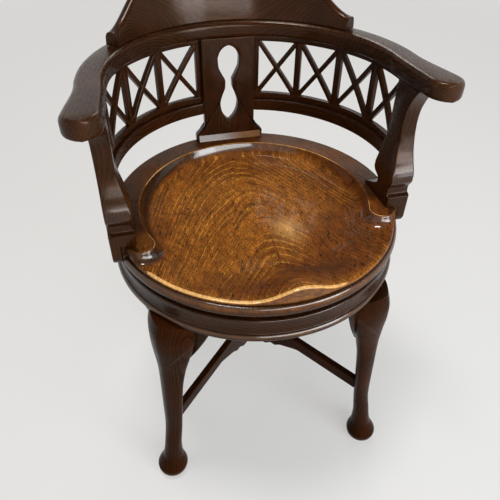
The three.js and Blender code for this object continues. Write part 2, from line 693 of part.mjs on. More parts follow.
// The rounded section of an arm across the line that it follows.
function armSection(middle, outward, half) {
  const high = armThick / 2;
  const round = Math.min(high * edgeShare, half / 2);
  const corners = [
    [half, -high + round], [half, high - round], [half - round, high], [-half + round, high],
    [-half, high - round], [-half, -high + round], [-half + round, -high], [half - round, -high],
  ];
  return corners.map(([out, up]) => new THREE.Vector3(0, 0, up).addScaledVector(outward, out).add(middle));
}

function bowSection(angle) {
  return armSection(polar(bowRadius, angle, armTop - armThick / 2), polar(1, angle, 0), bowHalf);
}

function arm() {
  const height = armTop - armThick / 2;
  const hand = forwardShares.map((share) => {
    const swell = smooth(share);
    const middle = new THREE.Vector3(bowRadius + handSwell * swell, -armForward * share, height);
    const tip = Math.max((share - noseShare) / (1 - noseShare), 0);
    const nose = Math.max(Math.sqrt(1 - tip ** 2), 1 - noseShare);
    return armSection(middle, new THREE.Vector3(1, 0, 0), mix(bowHalf, handHalf, swell) * nose);
  });
  const end = armJoint - fit / 2 / bowRadius;
  const bend = steps(armArcCount).slice(1).map((t) => bowSection(t * end));
  const holeTop = armBottom + armTenonReach + fit;
  const hole = bar(armTenonRadius + fit, armBottom - overrun, holeTop, legSides);
  return solid(skin([...hand, ...bend])).subtract(solid(hole.translate(supportMiddle, armTenonPlace, 0)));
}

function bowBack() {
  const start = armJoint + fit / 2 / bowRadius;
  const whole = skin(steps(bowArcCount).map((t) => bowSection(mix(start, Math.PI - start, t))));
  return solid(whole).subtract(highTongue(fit));
}

// Crest rail: a raked board on the bow that falls away to thin ends
const crestEnd = 33 * deg;
const crestThick = 22;
const crestTopThick = 16;
const crestSetIn = 12; // its inner face inside the bow's middle line, at the bottom
const crestRake = 0.2; // how far it leans back for each millimetre of height
const crestEndShare = 0.24;
const crestFallShare = 0.55; // part of each half over which the top falls
const crestCount = 26;

function crest() {
  const foot = armTop + fit;
  const inner = bowRadius - crestSetIn;
  return skin(steps(crestCount).map((t) => {
    const angle = mix(crestEnd, Math.PI - crestEnd, t);
    const inwards = 1 - Math.abs(2 * t - 1);
    const high = crestHeight * mix(crestEndShare, 1, smooth(inwards / crestFallShare));
    const round = crestTopThick * (1 - edgeShare) / 2;
    const lean = (share) => inner + crestRake * high * share;
    return [
      [lean(0), foot], [lean(0) + crestThick, foot],
      [lean(1) + crestTopThick, foot + high - round], [lean(1) + crestTopThick - round, foot + high],
      [lean(1) + round, foot + high], [lean(1), foot + high - round],
    ].map(([radius, z]) => polar(radius, angle, z));
  }));
}

// Iron plate under the seat and what holds the spindle down
const plateTip = 8;
const roundSides = 8;
const circle = (radius, sides, x = 0, y = 0) => steps(sides).slice(1)
  .map((t) => [x + radius * Math.cos(t * fullTurn), y + radius * Math.sin(t * fullTurn)]);

function spider() {
  const armEnd = [
    [plateArmHalf, -plateArmHalf],
    [plateReach - plateTip, -plateArmHalf], [plateReach, -plateArmHalf + plateTip],
    [plateReach, plateArmHalf - plateTip], [plateReach - plateTip, plateArmHalf],
  ];
  const outline = screwTurns.flatMap((turn) => armEnd.map(([x, y]) => [
    x * Math.cos(turn) - y * Math.sin(turn), x * Math.sin(turn) + y * Math.cos(turn)]));
  const holes = screwTurns.map((turn) => circle(screwRadius + fit, roundSides,
    plateScrewRadius * Math.cos(turn), plateScrewRadius * Math.sin(turn)));
  const bore = circle(spindleRadius + fit, ironSides);
  return plate(outline, plateThick, [bore, ...holes]).translate(0, 0, plateBottom);
}

function washer(inner, outer, z0, z1) {
  return turned([[inner, z0], [outer, z0], [outer, z1], [inner, z1], [inner, z0]], ironSides);
}

function pinBar(radius) {
  return laidInwards(bar(radius, -splitPinHalf, splitPinHalf, roundSides)).translate(0, 0, splitPinHeight);
}

const seat = new THREE.Group();
const supportScrewBase = supportOuter - plugThick - screwHeadThick - 2 * fit;
const bothSides = [
  ['left', mirrored, splatWaistHalf - splatShift],
  ['right', (geometry) => geometry, splatWaistHalf + splatShift],
];
const seatCuts = [lowTongue(fit)];
bothSides.forEach(([, place]) => {
  const notch = block(notchFace, notchFace + 2 * notchWall, -supportReach - fit, heelBack + fit,
    seatHeight - blockDrop - fit, seatHeight + overrun);
  seatCuts.push(solid(place(notch)));
  supportScrewPlaces.forEach((y) => {
    const hole = laidInwards(bar(screwRadius + fit, 0, supportScrewLength + fit, legSides));
    seatCuts.push(solid(place(hole.translate(supportScrewBase, y, seatHeight - supportScrewDrop))));
  });
});
screwTurns.forEach((turn) => {
  const hole = bar(screwRadius + fit, seatBottom - overrun, plateBottom + plateScrewLength, legSides);
  seatCuts.push(solid(turnedBy(hole.translate(plateScrewRadius, 0, 0), turn)));
});
const board = seatCuts.reduce((rest, cut) => rest.subtract(cut), seatBoard());
add(seat, 'seat', board, finishes.seatOak);

bothSides.forEach(([side, place, splatSide]) => {
  add(seat, `arm_support_${side}`, place(geometryOf(support())), finishes.darkOak);
  add(seat, `lower_rail_${side}`, place(geometryOf(lowerRail(splatSide))), finishes.darkOak);
  add(seat, `fret_panel_${side}`, place(geometryOf(fretPanel(splatSide))), finishes.darkOak);
  add(seat, `arm_${side}`, place(geometryOf(arm())), finishes.darkOak);
  supportScrewPlaces.forEach((y, k) => {
    const name = `${side}_${k + 1}`;
    const height = seatHeight - supportScrewDrop;
    const fixing = laidInwards(closed(screw(supportScrewLength))).translate(supportScrewBase, y, height);
    add(seat, `support_screw_${name}`, place(fixing), finishes.steel);
    const plug = laidInwards(bar(plugRadius, 0, plugThick, legSides)).translate(supportOuter, y, height);
    add(seat, `support_plug_${name}`, place(plug), finishes.darkOak);
  });
});
add(seat, 'back_splat', splat(), finishes.darkOak);
add(seat, 'bow_back', bowBack(), finishes.darkOak);
add(seat, 'crest_rail', crest(), finishes.darkOak);

add(seat, 'seat_plate', spider(), finishes.iron);
screwTurns.forEach((turn, k) => {
  const fixing = screw(plateScrewLength).translate(plateScrewRadius, 0, plateBottom - fit);
  add(seat, `plate_screw_${k + 1}`, turnedBy(fixing, turn), finishes.steel);
});
const spindle = solid(bar(spindleRadius, spindleBottom, seatBottom - fit, ironSides))
  .subtract(solid(pinBar(splitPinRadius + fit)));
add(seat, 'spindle', spindle, finishes.steel);
const holeRadius = spindleRadius + fit;
const thrustBottom = flangeTop + fit;
const thrustWasher = washer(holeRadius, thrustRadius, thrustBottom, thrustBottom + thrustThick);
add(seat, 'thrust_washer', thrustWasher, finishes.steel);
const retainingWasher = washer(holeRadius, washerRadius, washerTop - washerThick, washerTop);
add(seat, 'retaining_washer', retainingWasher, finishes.steel);
const nut = plate(circle(nutRadius, nutSides), nutThick, [circle(holeRadius, ironSides)]);
add(seat, 'spindle_nut', nut.translate(0, 0, nutTop - nutThick), finishes.iron);
add(seat, 'split_pin', pinBar(splitPinRadius), finishes.steel);

const chair = new THREE.Group();
chair.add(base, seat);
const whole = new THREE.Box3().setFromObject(chair, true).getCenter(new THREE.Vector3());
chair.position.set(-whole.x, -whole.y, 0);

export default chair;
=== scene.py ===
"""A revolving desk chair in oak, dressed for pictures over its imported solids.

Shapes are numpy surfaces, worked out about the swivel axis in metres and then set on that axis.
Left is -X, the sitter faces -Y and Z points up.
"""
import json
import math

import bmesh
import bpy
import numpy as np
from mathutils import Matrix, Vector


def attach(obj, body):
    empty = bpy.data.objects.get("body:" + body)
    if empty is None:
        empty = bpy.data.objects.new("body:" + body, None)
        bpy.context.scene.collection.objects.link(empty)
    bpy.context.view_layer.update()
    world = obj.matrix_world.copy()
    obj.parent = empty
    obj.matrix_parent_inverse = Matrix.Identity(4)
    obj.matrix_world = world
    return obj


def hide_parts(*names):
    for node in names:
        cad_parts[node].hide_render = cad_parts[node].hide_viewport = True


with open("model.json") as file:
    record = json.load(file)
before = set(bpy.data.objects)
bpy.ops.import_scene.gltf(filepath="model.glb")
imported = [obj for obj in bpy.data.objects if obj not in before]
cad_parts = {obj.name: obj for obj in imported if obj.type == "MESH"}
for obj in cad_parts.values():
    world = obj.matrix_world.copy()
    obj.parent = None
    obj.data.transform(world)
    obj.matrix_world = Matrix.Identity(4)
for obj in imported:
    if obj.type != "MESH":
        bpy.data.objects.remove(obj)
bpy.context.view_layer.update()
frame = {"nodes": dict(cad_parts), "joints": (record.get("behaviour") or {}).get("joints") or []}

bl_info = {
    "name": "Revolving Desk Chair",
    "version": (1, 0, 0),
    "blender": (4, 5, 0),
    "location": "3D View > Sidebar > Desk Chair",
    "description": "Builds the dished seat, horseshoe back and cabriole base of an oak desk chair",
    "category": "Add Mesh",
}

MM = 0.001
AXIS = np.array([0.0, frame["joints"][0]["pos_m"][1], 0.0])
# joints that fit without touching
HAIR = 0.3 * MM
# the ring frame's inner face, middle line and underside, and the legs' top just below it
RING_INNER, RING_MIDDLE, RING_FOOT = 0.200, 0.21625, 0.385
LEG_TOP = 0.3847
# turn from the front where the rim's lobes are centred, and the width of the dish's wall
LOBE_TURN = math.radians(67.5)
DISH_WALL = 26 * MM
# pommel: its place right of the middle, and the most that it stands above the rim
POMMEL_SHIFT, POMMEL_TOP = 0.008, 0.0072
SPLAT_SHIFT = 0.005
# back face of the arm supports' upper part, where rails and frets start
SUPPORT_BACK = -18 * MM
# horseshoe: middle radius, half width, crown of its top, turn of its joints and half a joint
BOW_RADIUS, ARM_HALF, ARM_CROWN = 0.226, 0.020, 1.2 * MM
ARM_JOINT, ARM_GAP = math.radians(48), 0.00066
# pith line beside each plank: across it and through it
PITH = (0.05, 0.03)
# the flat floor of the notches for the foot blocks, and the radius where the seat draws in to it
NOTCH_FLAT, NOTCH_START = 0.221, 0.205
# the seat's moulded edge: its start below the rim, and how far in it reaches
EDGE_TOP, EDGE_REACH = 0.0165, 0.0062

# Colours inside the finishes: seat, frame, iron and steel
LEAN_YEAR = (0.080, 0.020, 0.0025, 1)
# polished oak of the front lip, light enough to also be its painted highlight
POLISHED_OAK_AND_SHEEN = (0.68, 0.39, 0.135, 1)
STAIN_BAND = (0.075, 0.024, 0.005, 1)
HOLLOW_SHADE = (0.012, 0.005, 0.002, 1)
SEAT_GRIME = (0.045, 0.014, 0.003, 1)
GLUE_LINE = (0.03, 0.010, 0.003, 1)
CRACK_DIRT = (0.035, 0.012, 0.004, 1)
STAINED_RAY = (0.085, 0.028, 0.006, 1)
STAINED_PORE = (0.005, 0.002, 0.001, 1)
RED_CLOUD = (0.048, 0.011, 0.003, 1)
BARE_FRAME_DARK = (0.10, 0.035, 0.009, 1)
BARE_FRAME_LIGHT = (0.26, 0.110, 0.032, 1)
FRAME_GRIME = (0.008, 0.004, 0.002, 1)
IRON_SAND = (0.11, 0.105, 0.10, 1)
RUST = (0.075, 0.026, 0.010, 1)
STEEL_SHADE = (0.30, 0.29, 0.28, 1)
BROWN_FRECKLE = (0.13, 0.075, 0.04, 1)

# Shapes that are tables: shares of a size, as in the solids
# a leg's stations from foot to knee: rise, splay, half width, depth, roundness
LEG_STATIONS = np.array([
    [0, 1, 0.463, 1, 2], [0.018, 1, 0.57, 1, 2], [0.04, 1, 0.6, 1, 2], [0.07, 0.97, 0.517, 1, 2],
    [0.11, 0.91, 0.392, 1, 2], [0.19, 0.83, 0.345, 0.95, 1.9], [0.32, 0.67, 0.37, 0.8, 1.75],
    [0.468, 0.578, 0.428, 0.75, 1.65], [0.611, 0.488, 0.485, 0.75, 1.6],
    [0.715, 0.386, 0.589, 0.75, 1.55], [0.806, 0.292, 0.763, 0.75, 1.5],
    [0.884, 0.216, 0.922, 0.75, 1.45], [0.949, 0.13, 1, 0.75, 1.4], [1, 0.022, 0.965, 0.75, 1.4]])
# carved line of a knee: turn from the front corner, share of the height
KNEE_LINE = np.array([[0.31, 0.749], [0.63, 0.813], [0.91, 0.846], [1.24, 0.882], [1.54, 0.911],
                      [2.0, 0.892]])
# front of an arm support: share of its reach, share of its height
SUPPORT_FRONT = np.array([
    [1, 0], [1, 0.094], [0.972, 0.105], [0.92, 0.112], [0.905, 0.14], [0.912, 0.172],
    [0.962, 0.205], [1, 0.242], [1, 0.272], [0.975, 0.315], [0.93, 0.355], [0.86, 0.408],
    [0.785, 0.48], [0.73, 0.558], [0.697, 0.636], [0.684, 0.71], [0.7, 0.785], [0.76, 0.86],
    [0.85, 0.93], [0.97, 1]])
# back of its foot block: share of the way to the bottom of the hollow, share of the rail's rise
SUPPORT_HEEL = np.array([
    [0, 0.0057], [0.08, 0.0923], [0.385, 0.202], [0.85, 0.369], [1, 0.483], [0.95, 0.628],
    [0.64, 0.742], [0.525, 0.87]])
# one side of the splat's hole: share of the waist's half width, share of the height
VASE = np.array([
    [0, 0.2], [0.16, 0.24], [0.3, 0.31], [0.34, 0.38], [0.26, 0.46], [0.14, 0.54], [0.13, 0.6],
    [0.24, 0.66], [0.38, 0.74], [0.4, 0.81], [0.3, 0.88], [0.12, 0.92], [0, 0.93]])
# one side of the splat: share of its half width, share of the height
SPLAT_SIDE = np.array([[0, 0], [1, 0], [1, 0.068], [0.738, 0.157], [0.738, 1], [0, 1]])
# seat edge below the lip: radius beyond the seat's top edge, height below the rim, in mm
SEAT_EDGE = np.array([
    [0, -12.0], [-0.1, -15.0], [-0.7, -17.3], [-1, -18.3], [0.6, -18.5], [1.9, -18.6],
    [2.7, -18.85], [3.1, -19.2], [3.5, -19.76], [3.9, -20.3], [4.3, -20.87], [4.75, -21.9],
    [5.15, -23.6], [5.45, -26.5], [5.4, -30.0], [4.6, -33.2], [2.6, -35.7], [0.2, -36.5],
    [-3.4, -37.0], [-4, -37.6], [-4, -39.4], [-4.6, -40]])
# spots of lighter and darker oak on the dish: how much, then x, y and the radii along x and y
TONE_SPOTS = np.array([
    [0.30, -0.03, -0.01, 0.09, 0.12], [0.16, 0.05, 0.075, 0.07, 0.05],
    [0.34, 0.010, -0.196, 0.018, 0.012], [-0.42, 0.062, -0.165, 0.045, 0.030],
    [-0.42, 0.135, -0.10, 0.07, 0.08], [-0.34, -0.030, -0.190, 0.045, 0.022],
    [-0.22, -0.155, -0.03, 0.03, 0.08], [-0.25, 0.03, -0.158, 0.05, 0.012],
    [-0.15, 0.0, 0.165, 0.12, 0.02]])
# shaded spots beside the pommel and at the right front, in the same order
HOLLOW_SPOTS = np.array([
    [0.52, 0.066, -0.172, 0.046, 0.020], [0.30, -0.028, -0.192, 0.035, 0.014],
    [0.38, 0.15, -0.11, 0.05, 0.06]])
# ring frame's section: radius beyond its inner face, height above its underside, in mm
RING_SECTION = np.array([
    [0, 0.8], [0.8, 0], [32.6, 0], [33.9, 0.3], [35.2, 1.4], [35.9, 3.2], [36.1, 5.4], [36.05, 7.6],
    [35.75, 9.1], [35.3, 9.72], [34.85, 10.34], [34.4, 10.95], [33.9, 11.6], [33.2, 12.1],
    [32.4, 12.3], [31.9, 12.9], [31.7, 14.6], [31.45, 18.0],
    [31.45, 22.0], [31.7, 27.0], [32.1, 32.0], [32.5, 35.6], [32.3, 37.4], [31.6, 38.9],
    [30.4, 39.8], [29.0, 40], [0.8, 40], [0, 39.2]])

# wood plug over a screw: radius and height above the face that it fills, in mm
PLUG_SECTION = np.array([
    [0.2, 0.2], [3, 0.15], [5.5, -0.1], [6, -0.5], [6, -4.6], [5.6, -5], [0.2, -5]])
# turned ironwork: radius and height above the floor, in mm
SOCKET_SECTION = np.array([
    [13.3, 350.6], [13.8, 350.1], [18.9, 350.1], [19.7, 350.9], [19.7, 409], [20.9, 412.2],
    [24.2, 414.1], [55.2, 414.1], [56, 414.9], [56, 419.3], [55.2, 420.1], [14.1, 420.1],
    [13.3, 419.3]])
THRUST_SECTION = np.array([
    [13.3, 420.6], [29.7, 420.4], [30, 420.7], [30, 423.1], [29.7, 423.4], [13.6, 423.4]])
KEEPER_SECTION = np.array([
    [13.3, 347.5], [23.8, 347.3], [24, 347.5], [24, 349.6], [23.8, 349.8], [13.6, 349.8]])
SPINDLE_SECTION = np.array([
    [0.2, 429.7], [12.4, 429.7], [13, 429.1], [13, 323], [12, 322], [0.2, 322]])
# studio floor and backdrop: radius and height, in metres
STUDIO_SWEEP = np.array([
    [0.01, -0.02], [9.5, -0.02], [9.5, 5.6], [9.45, 5.6], [9.42, 1.6], [9.2, 0.75], [8.8, 0.3],
    [8.2, 0.06], [7.6, -0.0002], [0.01, -0.0002]])


class ChairSizes(bpy.types.PropertyGroup):
    """Real sizes of the chair's own pieces."""
    seat_radius: bpy.props.FloatProperty(
        name="Seat radius", description="Top edge of the seat board", default=0.230, unit="LENGTH")
    seat_height: bpy.props.FloatProperty(
        name="Seat height", description="Floor to the flat rim", default=0.470, unit="LENGTH")
    rim_width: bpy.props.FloatProperty(
        name="Rim width", description="Flat rim around the dish", default=0.042, unit="LENGTH")
    dish_depth: bpy.props.FloatProperty(
        name="Dish depth", description="Floor of the dish below the rim", default=0.025,
        unit="LENGTH")
    front_drop: bpy.props.FloatProperty(
        name="Front drop", description="Front lip below the rim", default=0.014, unit="LENGTH")
    pommel_rise: bpy.props.FloatProperty(
        name="Pommel rise", description="Pommel above the front lip", default=0.021, unit="LENGTH")
    base_turn: bpy.props.FloatProperty(
        name="Base turn", description="Turn of the base under the seat", default=math.radians(-3.2),
        unit="ROTATION")
    leg_splay: bpy.props.FloatProperty(
        name="Leg splay", description="Foot outside the ring's middle", default=0.050,
        unit="LENGTH")
    knee_half: bpy.props.FloatProperty(
        name="Knee half width", description="Widest half width along the ring", default=0.046,
        unit="LENGTH")
    arm_height: bpy.props.FloatProperty(
        name="Arm height", description="Rim of the seat to the top of the arms", default=0.218,
        unit="LENGTH")
    arm_thick: bpy.props.FloatProperty(
        name="Arm thickness", description="Thickness of the arms and bow", default=0.026,
        unit="LENGTH")


class ChairFinishes(bpy.types.PropertyGroup):
    """Colours and gloss of the finishes."""
    golden_oak: bpy.props.FloatVectorProperty(
        name="Golden oak", description="Oak where the stain is rubbed through", subtype="COLOR",
        size=4, default=(0.57, 0.200, 0.021, 1), min=0, max=1)
    red_oak: bpy.props.FloatVectorProperty(
        name="Red oak", description="Oak where the stain has sunk in", subtype="COLOR", size=4,
        default=(0.150, 0.040, 0.004, 1), min=0, max=1)
    honey_streak: bpy.props.FloatVectorProperty(
        name="Honey streak", description="Light growth lines in the dish", subtype="COLOR", size=4,
        default=(0.72, 0.34, 0.052, 1), min=0, max=1)
    umber: bpy.props.FloatVectorProperty(
        name="Umber", description="Dark bands and pores in the dish", subtype="COLOR", size=4,
        default=(0.075, 0.018, 0.002, 1), min=0, max=1)
    dark_stain: bpy.props.FloatVectorProperty(
        name="Dark stain", description="Stained oak of the frame", subtype="COLOR", size=4,
        default=(0.017, 0.0050, 0.0012, 1), min=0, max=1)
    stain_streak: bpy.props.FloatVectorProperty(
        name="Stain streak", description="Lighter streaks in the stained oak", subtype="COLOR",
        size=4, default=(0.050, 0.0155, 0.0035, 1), min=0, max=1)
    old_iron: bpy.props.FloatVectorProperty(
        name="Old iron", description="Cast iron of the swivel", subtype="COLOR", size=4,
        default=(0.045, 0.043, 0.042, 1), min=0, max=1)
    bright_steel: bpy.props.FloatVectorProperty(
        name="Bright steel", description="Spindle, washers and screws", subtype="COLOR", size=4,
        default=(0.42, 0.41, 0.40, 1), min=0, max=1)


class ChairStage(bpy.types.PropertyGroup):
    """Floor, lights and camera."""
    floor_colour: bpy.props.FloatVectorProperty(
        name="Floor colour", description="Plain pale floor", subtype="COLOR", size=4,
        default=(0.776, 0.768, 0.753, 1), min=0, max=1)
    key_power: bpy.props.FloatProperty(
        name="Overhead lamp", description="Large soft lamp above", default=104.0, unit="POWER")
    window_power: bpy.props.FloatProperty(
        name="Window lamp", description="Wide strip in front, on the right", default=60.0,
        unit="POWER")
    side_power: bpy.props.FloatProperty(
        name="Side lamp", description="Low cool lamp in front, on the right", default=24.0,
        unit="POWER")
    back_power: bpy.props.FloatProperty(
        name="Back lamp", description="Lamp behind the chair", default=9.0, unit="POWER")
    lens: bpy.props.FloatProperty(
        name="Lens", description="Focal length of the camera", default=36.0, unit="CAMERA")


# Curves and surfaces

def smoothstep(t):
    """3t^2 - 2t^3 from 0 to 1."""
    t = np.clip(t, 0, 1)
    return t * t * (3 - 2 * t)


def hump(value, middle, width):
    """A soft bump that is 1 at its middle: exp(-((value - middle) / width)^2)."""
    return np.exp(-((value - middle) / width) ** 2)


def bell(x, y, x0, y0, rx, ry):
    """A soft spot about a point of the plane: the product of a bump in x and one in y."""
    return hump(x, x0, rx) * hump(y, y0, ry)


def eased(x, xs, ys):
    """Smooth curve through a table: cubic pieces whose slopes never overshoot the table's steps."""
    xs, ys = np.asarray(xs, float), np.asarray(ys, float)
    h = np.diff(xs)
    rate = np.diff(ys) / h
    slope = np.zeros_like(ys)
    same = rate[:-1] * rate[1:] > 0
    w1, w2 = 2 * h[1:] + h[:-1], h[1:] + 2 * h[:-1]
    with np.errstate(divide="ignore", invalid="ignore"):
        slope[1:-1] = np.where(same, (w1 + w2) / (w1 / rate[:-1] + w2 / rate[1:]), 0)
    slope[0], slope[-1] = rate[0], rate[-1]
    x = np.clip(x, xs[0], xs[-1])
    k = np.clip(np.searchsorted(xs, x, side="right") - 1, 0, len(h) - 1)
    t = (x - xs[k]) / h[k]
    return (ys[k] * (1 + 2 * t) * (1 - t) ** 2 + slope[k] * h[k] * t * (1 - t) ** 2
            + ys[k + 1] * t * t * (3 - 2 * t) - slope[k + 1] * h[k] * t * t * (1 - t))


def even_steps(points, count):
    """Points at equal distances along a broken line."""
    run = np.concatenate([[0], np.cumsum(np.linalg.norm(np.diff(points, axis=0), axis=1))])
    at = np.linspace(0, run[-1], count)
    return np.stack([np.interp(at, run, column) for column in points.T], -1)


def skin(rows, closed=False):
    """Closed surface over sections: row i is a closed ring of n points. Quads join neighbour rows,
    and unless the path is a loop too, a fan of triangles to the middle closes each end."""
    m, n = rows.shape[:2]
    i = np.arange(m if closed else m - 1)[:, None] * n
    j = np.arange(n)[None, :]
    after, above = (j + 1) % n, (i + n) % (m * n)
    quads = np.stack([i + j, i + after, above + after, above + j], -1).reshape(-1, 4)
    points = rows.reshape(-1, 3)
    if closed:
        return points, face_list(quads)
    k = np.arange(n)
    start = np.stack([(k + 1) % n, k, np.full(n, m * n)], -1)
    end = np.stack([k + (m - 1) * n, (k + 1) % n + (m - 1) * n, np.full(n, m * n + 1)], -1)
    return np.vstack([points, rows[0].mean(0), rows[-1].mean(0)]), face_list(quads, start, end)


def slab(outline, thick):
    """A sawn board: a flat outline of points in the plane x, z, given its thickness along y."""
    n = len(outline)
    flat = np.stack([outline[:, 0], np.zeros(n), outline[:, 1]], -1)
    points = np.vstack([flat - [0, thick / 2, 0], flat + [0, thick / 2, 0]])
    k = np.arange(n)
    sides = np.stack([k, (k + 1) % n, (k + 1) % n + n, k + n], -1)
    return points, face_list(sides, k[None, ::-1], k[None] + n)


def soft_corners(corners, radius, steps):
    """Sections with rounded corners: at each corner a curve runs from one edge to the next, drawn
    as (1-t)^2 a + 2t(1-t) corner + t^2 b. Corners are (m, c, 2), and the radius is one number per
    corner."""
    before, after = np.roll(corners, 1, 1) - corners, np.roll(corners, -1, 1) - corners
    size = np.broadcast_to(np.asarray(radius, float), corners.shape[:2])[..., None]
    long_before = np.linalg.norm(before, axis=2, keepdims=True)
    long_after = np.linalg.norm(after, axis=2, keepdims=True)
    a = corners + before / long_before * np.minimum(size, long_before * 0.48)
    b = corners + after / long_after * np.minimum(size, long_after * 0.48)
    t = np.linspace(0, 1, steps)[:, None]
    curve = ((1 - t) ** 2 * a[:, :, None] + 2 * t * (1 - t) * corners[:, :, None]
             + t * t * b[:, :, None])
    return curve.reshape(len(corners), -1, 2)


def box_corners(x0, x1, y0, y1):
    """Corner points (m, 4, 2) of upright rectangles, one for each row."""
    x0, x1, y0, y1 = np.broadcast_arrays(*np.atleast_1d(x0, x1, y0, y1))
    return np.stack([np.stack([x0, y0], -1), np.stack([x1, y0], -1), np.stack([x1, y1], -1),
                     np.stack([x0, y1], -1)], 1).astype(float)


def swept(section, angles):
    """A section of (radius, height) points carried round the axis. Angles are (m,) or (m, n)."""
    section = np.broadcast_to(section, (len(angles),) + section.shape[-2:])
    angles = angles[:, None] if angles.ndim == 1 else angles
    radius, height = section[..., 0], section[..., 1]
    return np.stack([radius * np.cos(angles), radius * np.sin(angles), height], -1)


def turned(profile, sides, closed=False):
    """A profile of (radius, height) points turned about the upright axis."""
    angle = np.linspace(0, 2 * np.pi, sides, endpoint=False)
    radius, height = profile.T
    return skin(np.stack([radius[:, None] * np.cos(angle), radius[:, None] * np.sin(angle),
                          np.broadcast_to(height[:, None], (len(radius), sides))], -1), closed)


def turn_z(points, angle):
    """Points turned about the upright axis."""
    c, s = math.cos(angle), math.sin(angle)
    return points @ np.array([[c, s, 0], [-s, c, 0], [0, 0, 1]])


def mirrored(part):
    """The same surface on the chair's other side."""
    return part[0] * [-1, 1, 1], part[1]


def as_drawn(part):
    """The surface as it is, on the chair's right."""
    return part


def face_list(*blocks):
    """Faces from arrays with one face in each row: all their corners in one run, and how many
    corners each face has."""
    corners = np.concatenate([block.ravel() for block in blocks])
    counts = np.concatenate([np.full(len(block), block.shape[1]) for block in blocks])
    return corners, counts


def outward(points, faces):
    """The same faces, turned so that the enclosed volume is positive: the sum over all triangles of
    a . (b x c) / 6. Each face is cut into a fan from its first corner."""
    corners, counts = faces
    first = np.repeat(np.cumsum(counts) - counts, counts)
    count = np.repeat(counts, counts)
    run = np.arange(len(corners))
    b = run[(run > first) & (run < first + count - 1)]
    volume = np.einsum("ij,ij->i", points[corners[first[b]]],
                       np.cross(points[corners[b]], points[corners[b + 1]])).sum()
    return faces if volume > 0 else (corners[2 * first + count - 1 - run], counts)


def new_mesh(name, points, faces):
    """A mesh filled from whole arrays."""
    corners, counts = faces
    mesh = bpy.data.meshes.new(name)
    mesh.vertices.add(len(points))
    mesh.vertices.foreach_set("co", np.asarray(points, np.float32).ravel())
    mesh.loops.add(len(corners))
    mesh.loops.foreach_set("vertex_index", corners.astype(np.int32))
    mesh.polygons.add(len(counts))
    mesh.polygons.foreach_set("loop_start", (np.cumsum(counts) - counts).astype(np.int32))
    mesh.update(calc_edges=True)
    return mesh


def store(mesh, name, values):
    """A point attribute: numbers, or places where the values have three columns."""
    kind, key = ("FLOAT_VECTOR", "vector") if np.ndim(values) == 2 else ("FLOAT", "value")
    layer = mesh.attributes.new(name, kind, "POINT")
    layer.data.foreach_set(key, np.asarray(values, np.float32).ravel())


def grain(points, along, seed):
    """Where each point lies in its own plank: along the grain, across it and through it, in metres,
    measured from a pith line beside the plank."""
    along = np.asarray(along, float) / np.linalg.norm(along)
    side = np.cross([0, 0, 1], along) if abs(along[2]) < 0.8 else np.array([0.0, 1.0, 0.0])
    side = side / np.linalg.norm(side)
    through = np.cross(along, side)
    local = points - points.mean(0)
    return np.stack([local @ along + 1.7 * seed, local @ side + PITH[0],
                     local @ through + PITH[1]], -1)


def finish_piece(context, name, mesh, finish, body, nodes, sharp, bevel=0.0, segments=3):
    """The object of a mesh, with its finish, smooth shading and softened edges, and with what it
    rides on, replaces and is made of."""
    mesh.materials.clear()
    mesh.materials.append(finish)
    mesh.shade_smooth()
    mesh.set_sharp_from_angle(angle=math.radians(sharp))
    piece = bpy.data.objects.new(name, mesh)
    context.scene.collection.objects.link(piece)
    if bevel:
        rounder = piece.modifiers.new("Softened edges", "BEVEL")
        rounder.width = bevel
        rounder.segments = segments
        rounder.limit_method = "ANGLE"
        rounder.angle_limit = math.radians(35)
    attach(piece, body)
    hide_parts(*nodes)
    return piece


def make_piece(context, name, parts, finish, body, nodes, wear=0.0, bevel=0.0, sharp=38,
               shine=0.24):
    """One finished object from parts of (points, faces, grain direction, seed), set on the axis.
    The plank coordinates go into the attribute plank, the rubbed places into rubbed and the
    thickness of the varnish into shine."""
    shells = [outward(points, faces) for points, faces, along, seed in parts]
    starts = np.cumsum([0] + [len(part[0]) for part in parts])
    corners = np.concatenate([run + start for (run, counts), start in zip(shells, starts)])
    counts = np.concatenate([counts for run, counts in shells])
    points = np.vstack([part[0] for part in parts])
    mesh = new_mesh(name, points + AXIS, (corners, counts))
    store(mesh, "plank", np.vstack([grain(own, along, seed) for own, faces, along, seed in parts]))
    store(mesh, "rubbed", np.broadcast_to(wear, len(points)))
    store(mesh, "shine", np.broadcast_to(shine, len(points)))
    return finish_piece(context, name, mesh, finish, body, nodes, sharp, bevel)


def softened_copy(context, node, name, finish, body, width, along=(0, 0, 1)):
    """A copy of a solid with its corners merged, its flat faces joined and its edges rounded."""
    mesh = frame["nodes"][node].data.copy()
    work = bmesh.new()
    work.from_mesh(mesh)
    bmesh.ops.remove_doubles(work, verts=work.verts, dist=0.00001)
    bmesh.ops.dissolve_limit(work, angle_limit=math.radians(2), verts=work.verts, edges=work.edges)
    work.to_mesh(mesh)
    work.free()
    mesh.name = name
    points = np.empty(len(mesh.vertices) * 3)
    mesh.vertices.foreach_get("co", points)
    store(mesh, "plank", grain(points.reshape(-1, 3), along, 1.0))
    return finish_piece(context, name, mesh, finish, body, [node], 30, width, 2)


# Node groups and finishes

